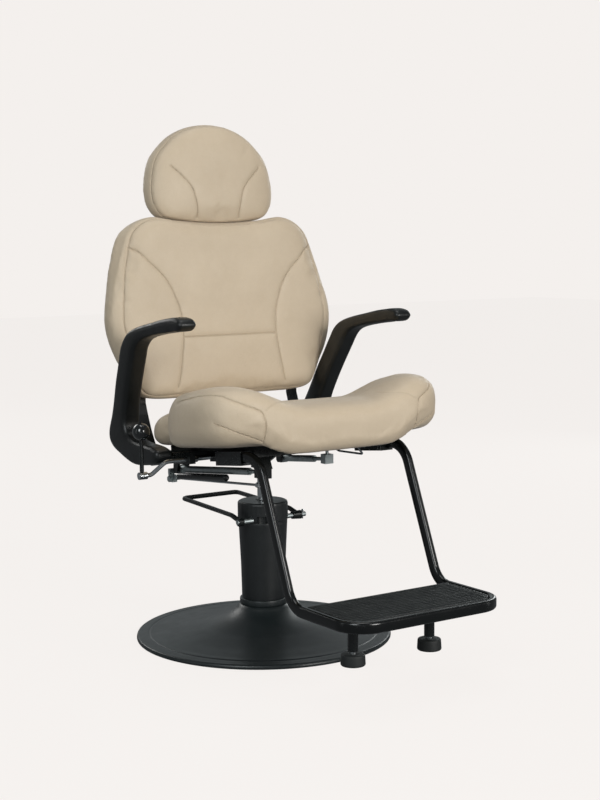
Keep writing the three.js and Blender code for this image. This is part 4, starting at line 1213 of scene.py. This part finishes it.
FLOOR_LIGHT = 0.62


def surround(o, mat):
    o.data.materials.append(mat)
    bpy.context.scene.collection.objects.link(o)
    o.visible_diffuse = False
    o.visible_glossy = False
    o.visible_transmission = False
    o.visible_shadow = False


me = bpy.data.meshes.new("floor")
S = 14.0
me.from_pydata([(-S, -S, 0), (S, -S, 0), (S, S, 0), (-S, S, 0)], [], [(0, 1, 2, 3)])
surround(bpy.data.objects.new("floor", me), paper("floor_paper", 0.05))
bm = bmesh.new()
bmesh.ops.create_uvsphere(bm, u_segments=48, v_segments=24, radius=40)
me = bpy.data.meshes.new("dome")
bm.to_mesh(me)
bm.free()
surround(bpy.data.objects.new("dome", me), paper("dome_paper", 0))

world = bpy.data.worlds.new("studio")
bpy.context.scene.world = world
world.use_nodes = True
wn = world.node_tree
bgn = wn.nodes["Background"]
bgn.inputs[0].default_value = (.92, .96, 1.0, 1)
bgn.inputs[1].default_value = 0.17


def area(name, loc, target, size, power, colour=(1, 1, 1), spread=180):
    l = bpy.data.lights.new(name, "AREA")
    l.shape = "RECTANGLE"
    l.size, l.size_y = size
    l.energy = power
    l.color = colour
    l.spread = math.radians(spread)
    o = bpy.data.objects.new(name, l)
    bpy.context.scene.collection.objects.link(o)
    o.location = loc
    o.rotation_euler = (Vector(target) - Vector(loc)).to_track_quat("-Z", "Y").to_euler()
    return o


key = area("key", (.7, -4.4, 1.65), (0, 0, .6), (1.7, 1.7), 138, (1, .99, .965))
top = area("top", (.2, .0, 5.0), (0, 0, .5), (2.4, 2.4), 50, (1, 1, 1))
fill = area("fill", (-3.0, -2.0, 2.2), (0, 0, .6), (1.2, 2.0), 58, (.93, .98, 1))
rim = area("rim", (3.2, 1.6, 1.6), (0, 0, .6), (.8, 2.0), 20, (.95, 1, 1))
# narrow strips for the metal to reflect
rear_fill = area("rear_fill", (-.8, 4.8, 2.7), (0, 0, .7), (2.4, 1.8), 46, (1, 1, .98))
glow = area("glow", (2.0, 4.0, 1.5), (0, 0, .1), (3.4, 1.8), 6, (.9, 1, 1))
strip_low = area("strip_low", (-2.6, -3.4, .25), (0, 0, .45), (2.6, .18), 3, (.95, 1, 1))
strip_left = area("strip_left", (-3.6, .4, 1.0), (0, 0, .5), (.16, 2.6), 4, (.95, 1, 1))
strip_right = area("strip_right", (3.0, -2.6, .9), (0, 0, .5), (.16, 2.6), 5, (1, 1, .98))

cam_data = bpy.data.cameras.new("camera")
cam_data.lens = 67.1
cam_data.sensor_width = 36
cam_data.sensor_fit = "AUTO"
cam_data.clip_start, cam_data.clip_end = .05, 200
cam = bpy.data.objects.new("camera", cam_data)
bpy.context.scene.collection.objects.link(cam)
Rr, Uu, Ff = Vector((.8269452, -.56222596, -.00797603)), Vector((.06817465, .08617348, .99394484)), Vector((.55813427, .82248167, -.1095903))
m = Matrix((Rr, Uu, -Ff)).transposed().to_4x4()
m.translation = Vector((-1.92823081, -3.00638238, .96961818))
cam.matrix_world = m
bpy.context.scene.camera = cam

bpy.context.scene.view_settings.view_transform = "Standard"
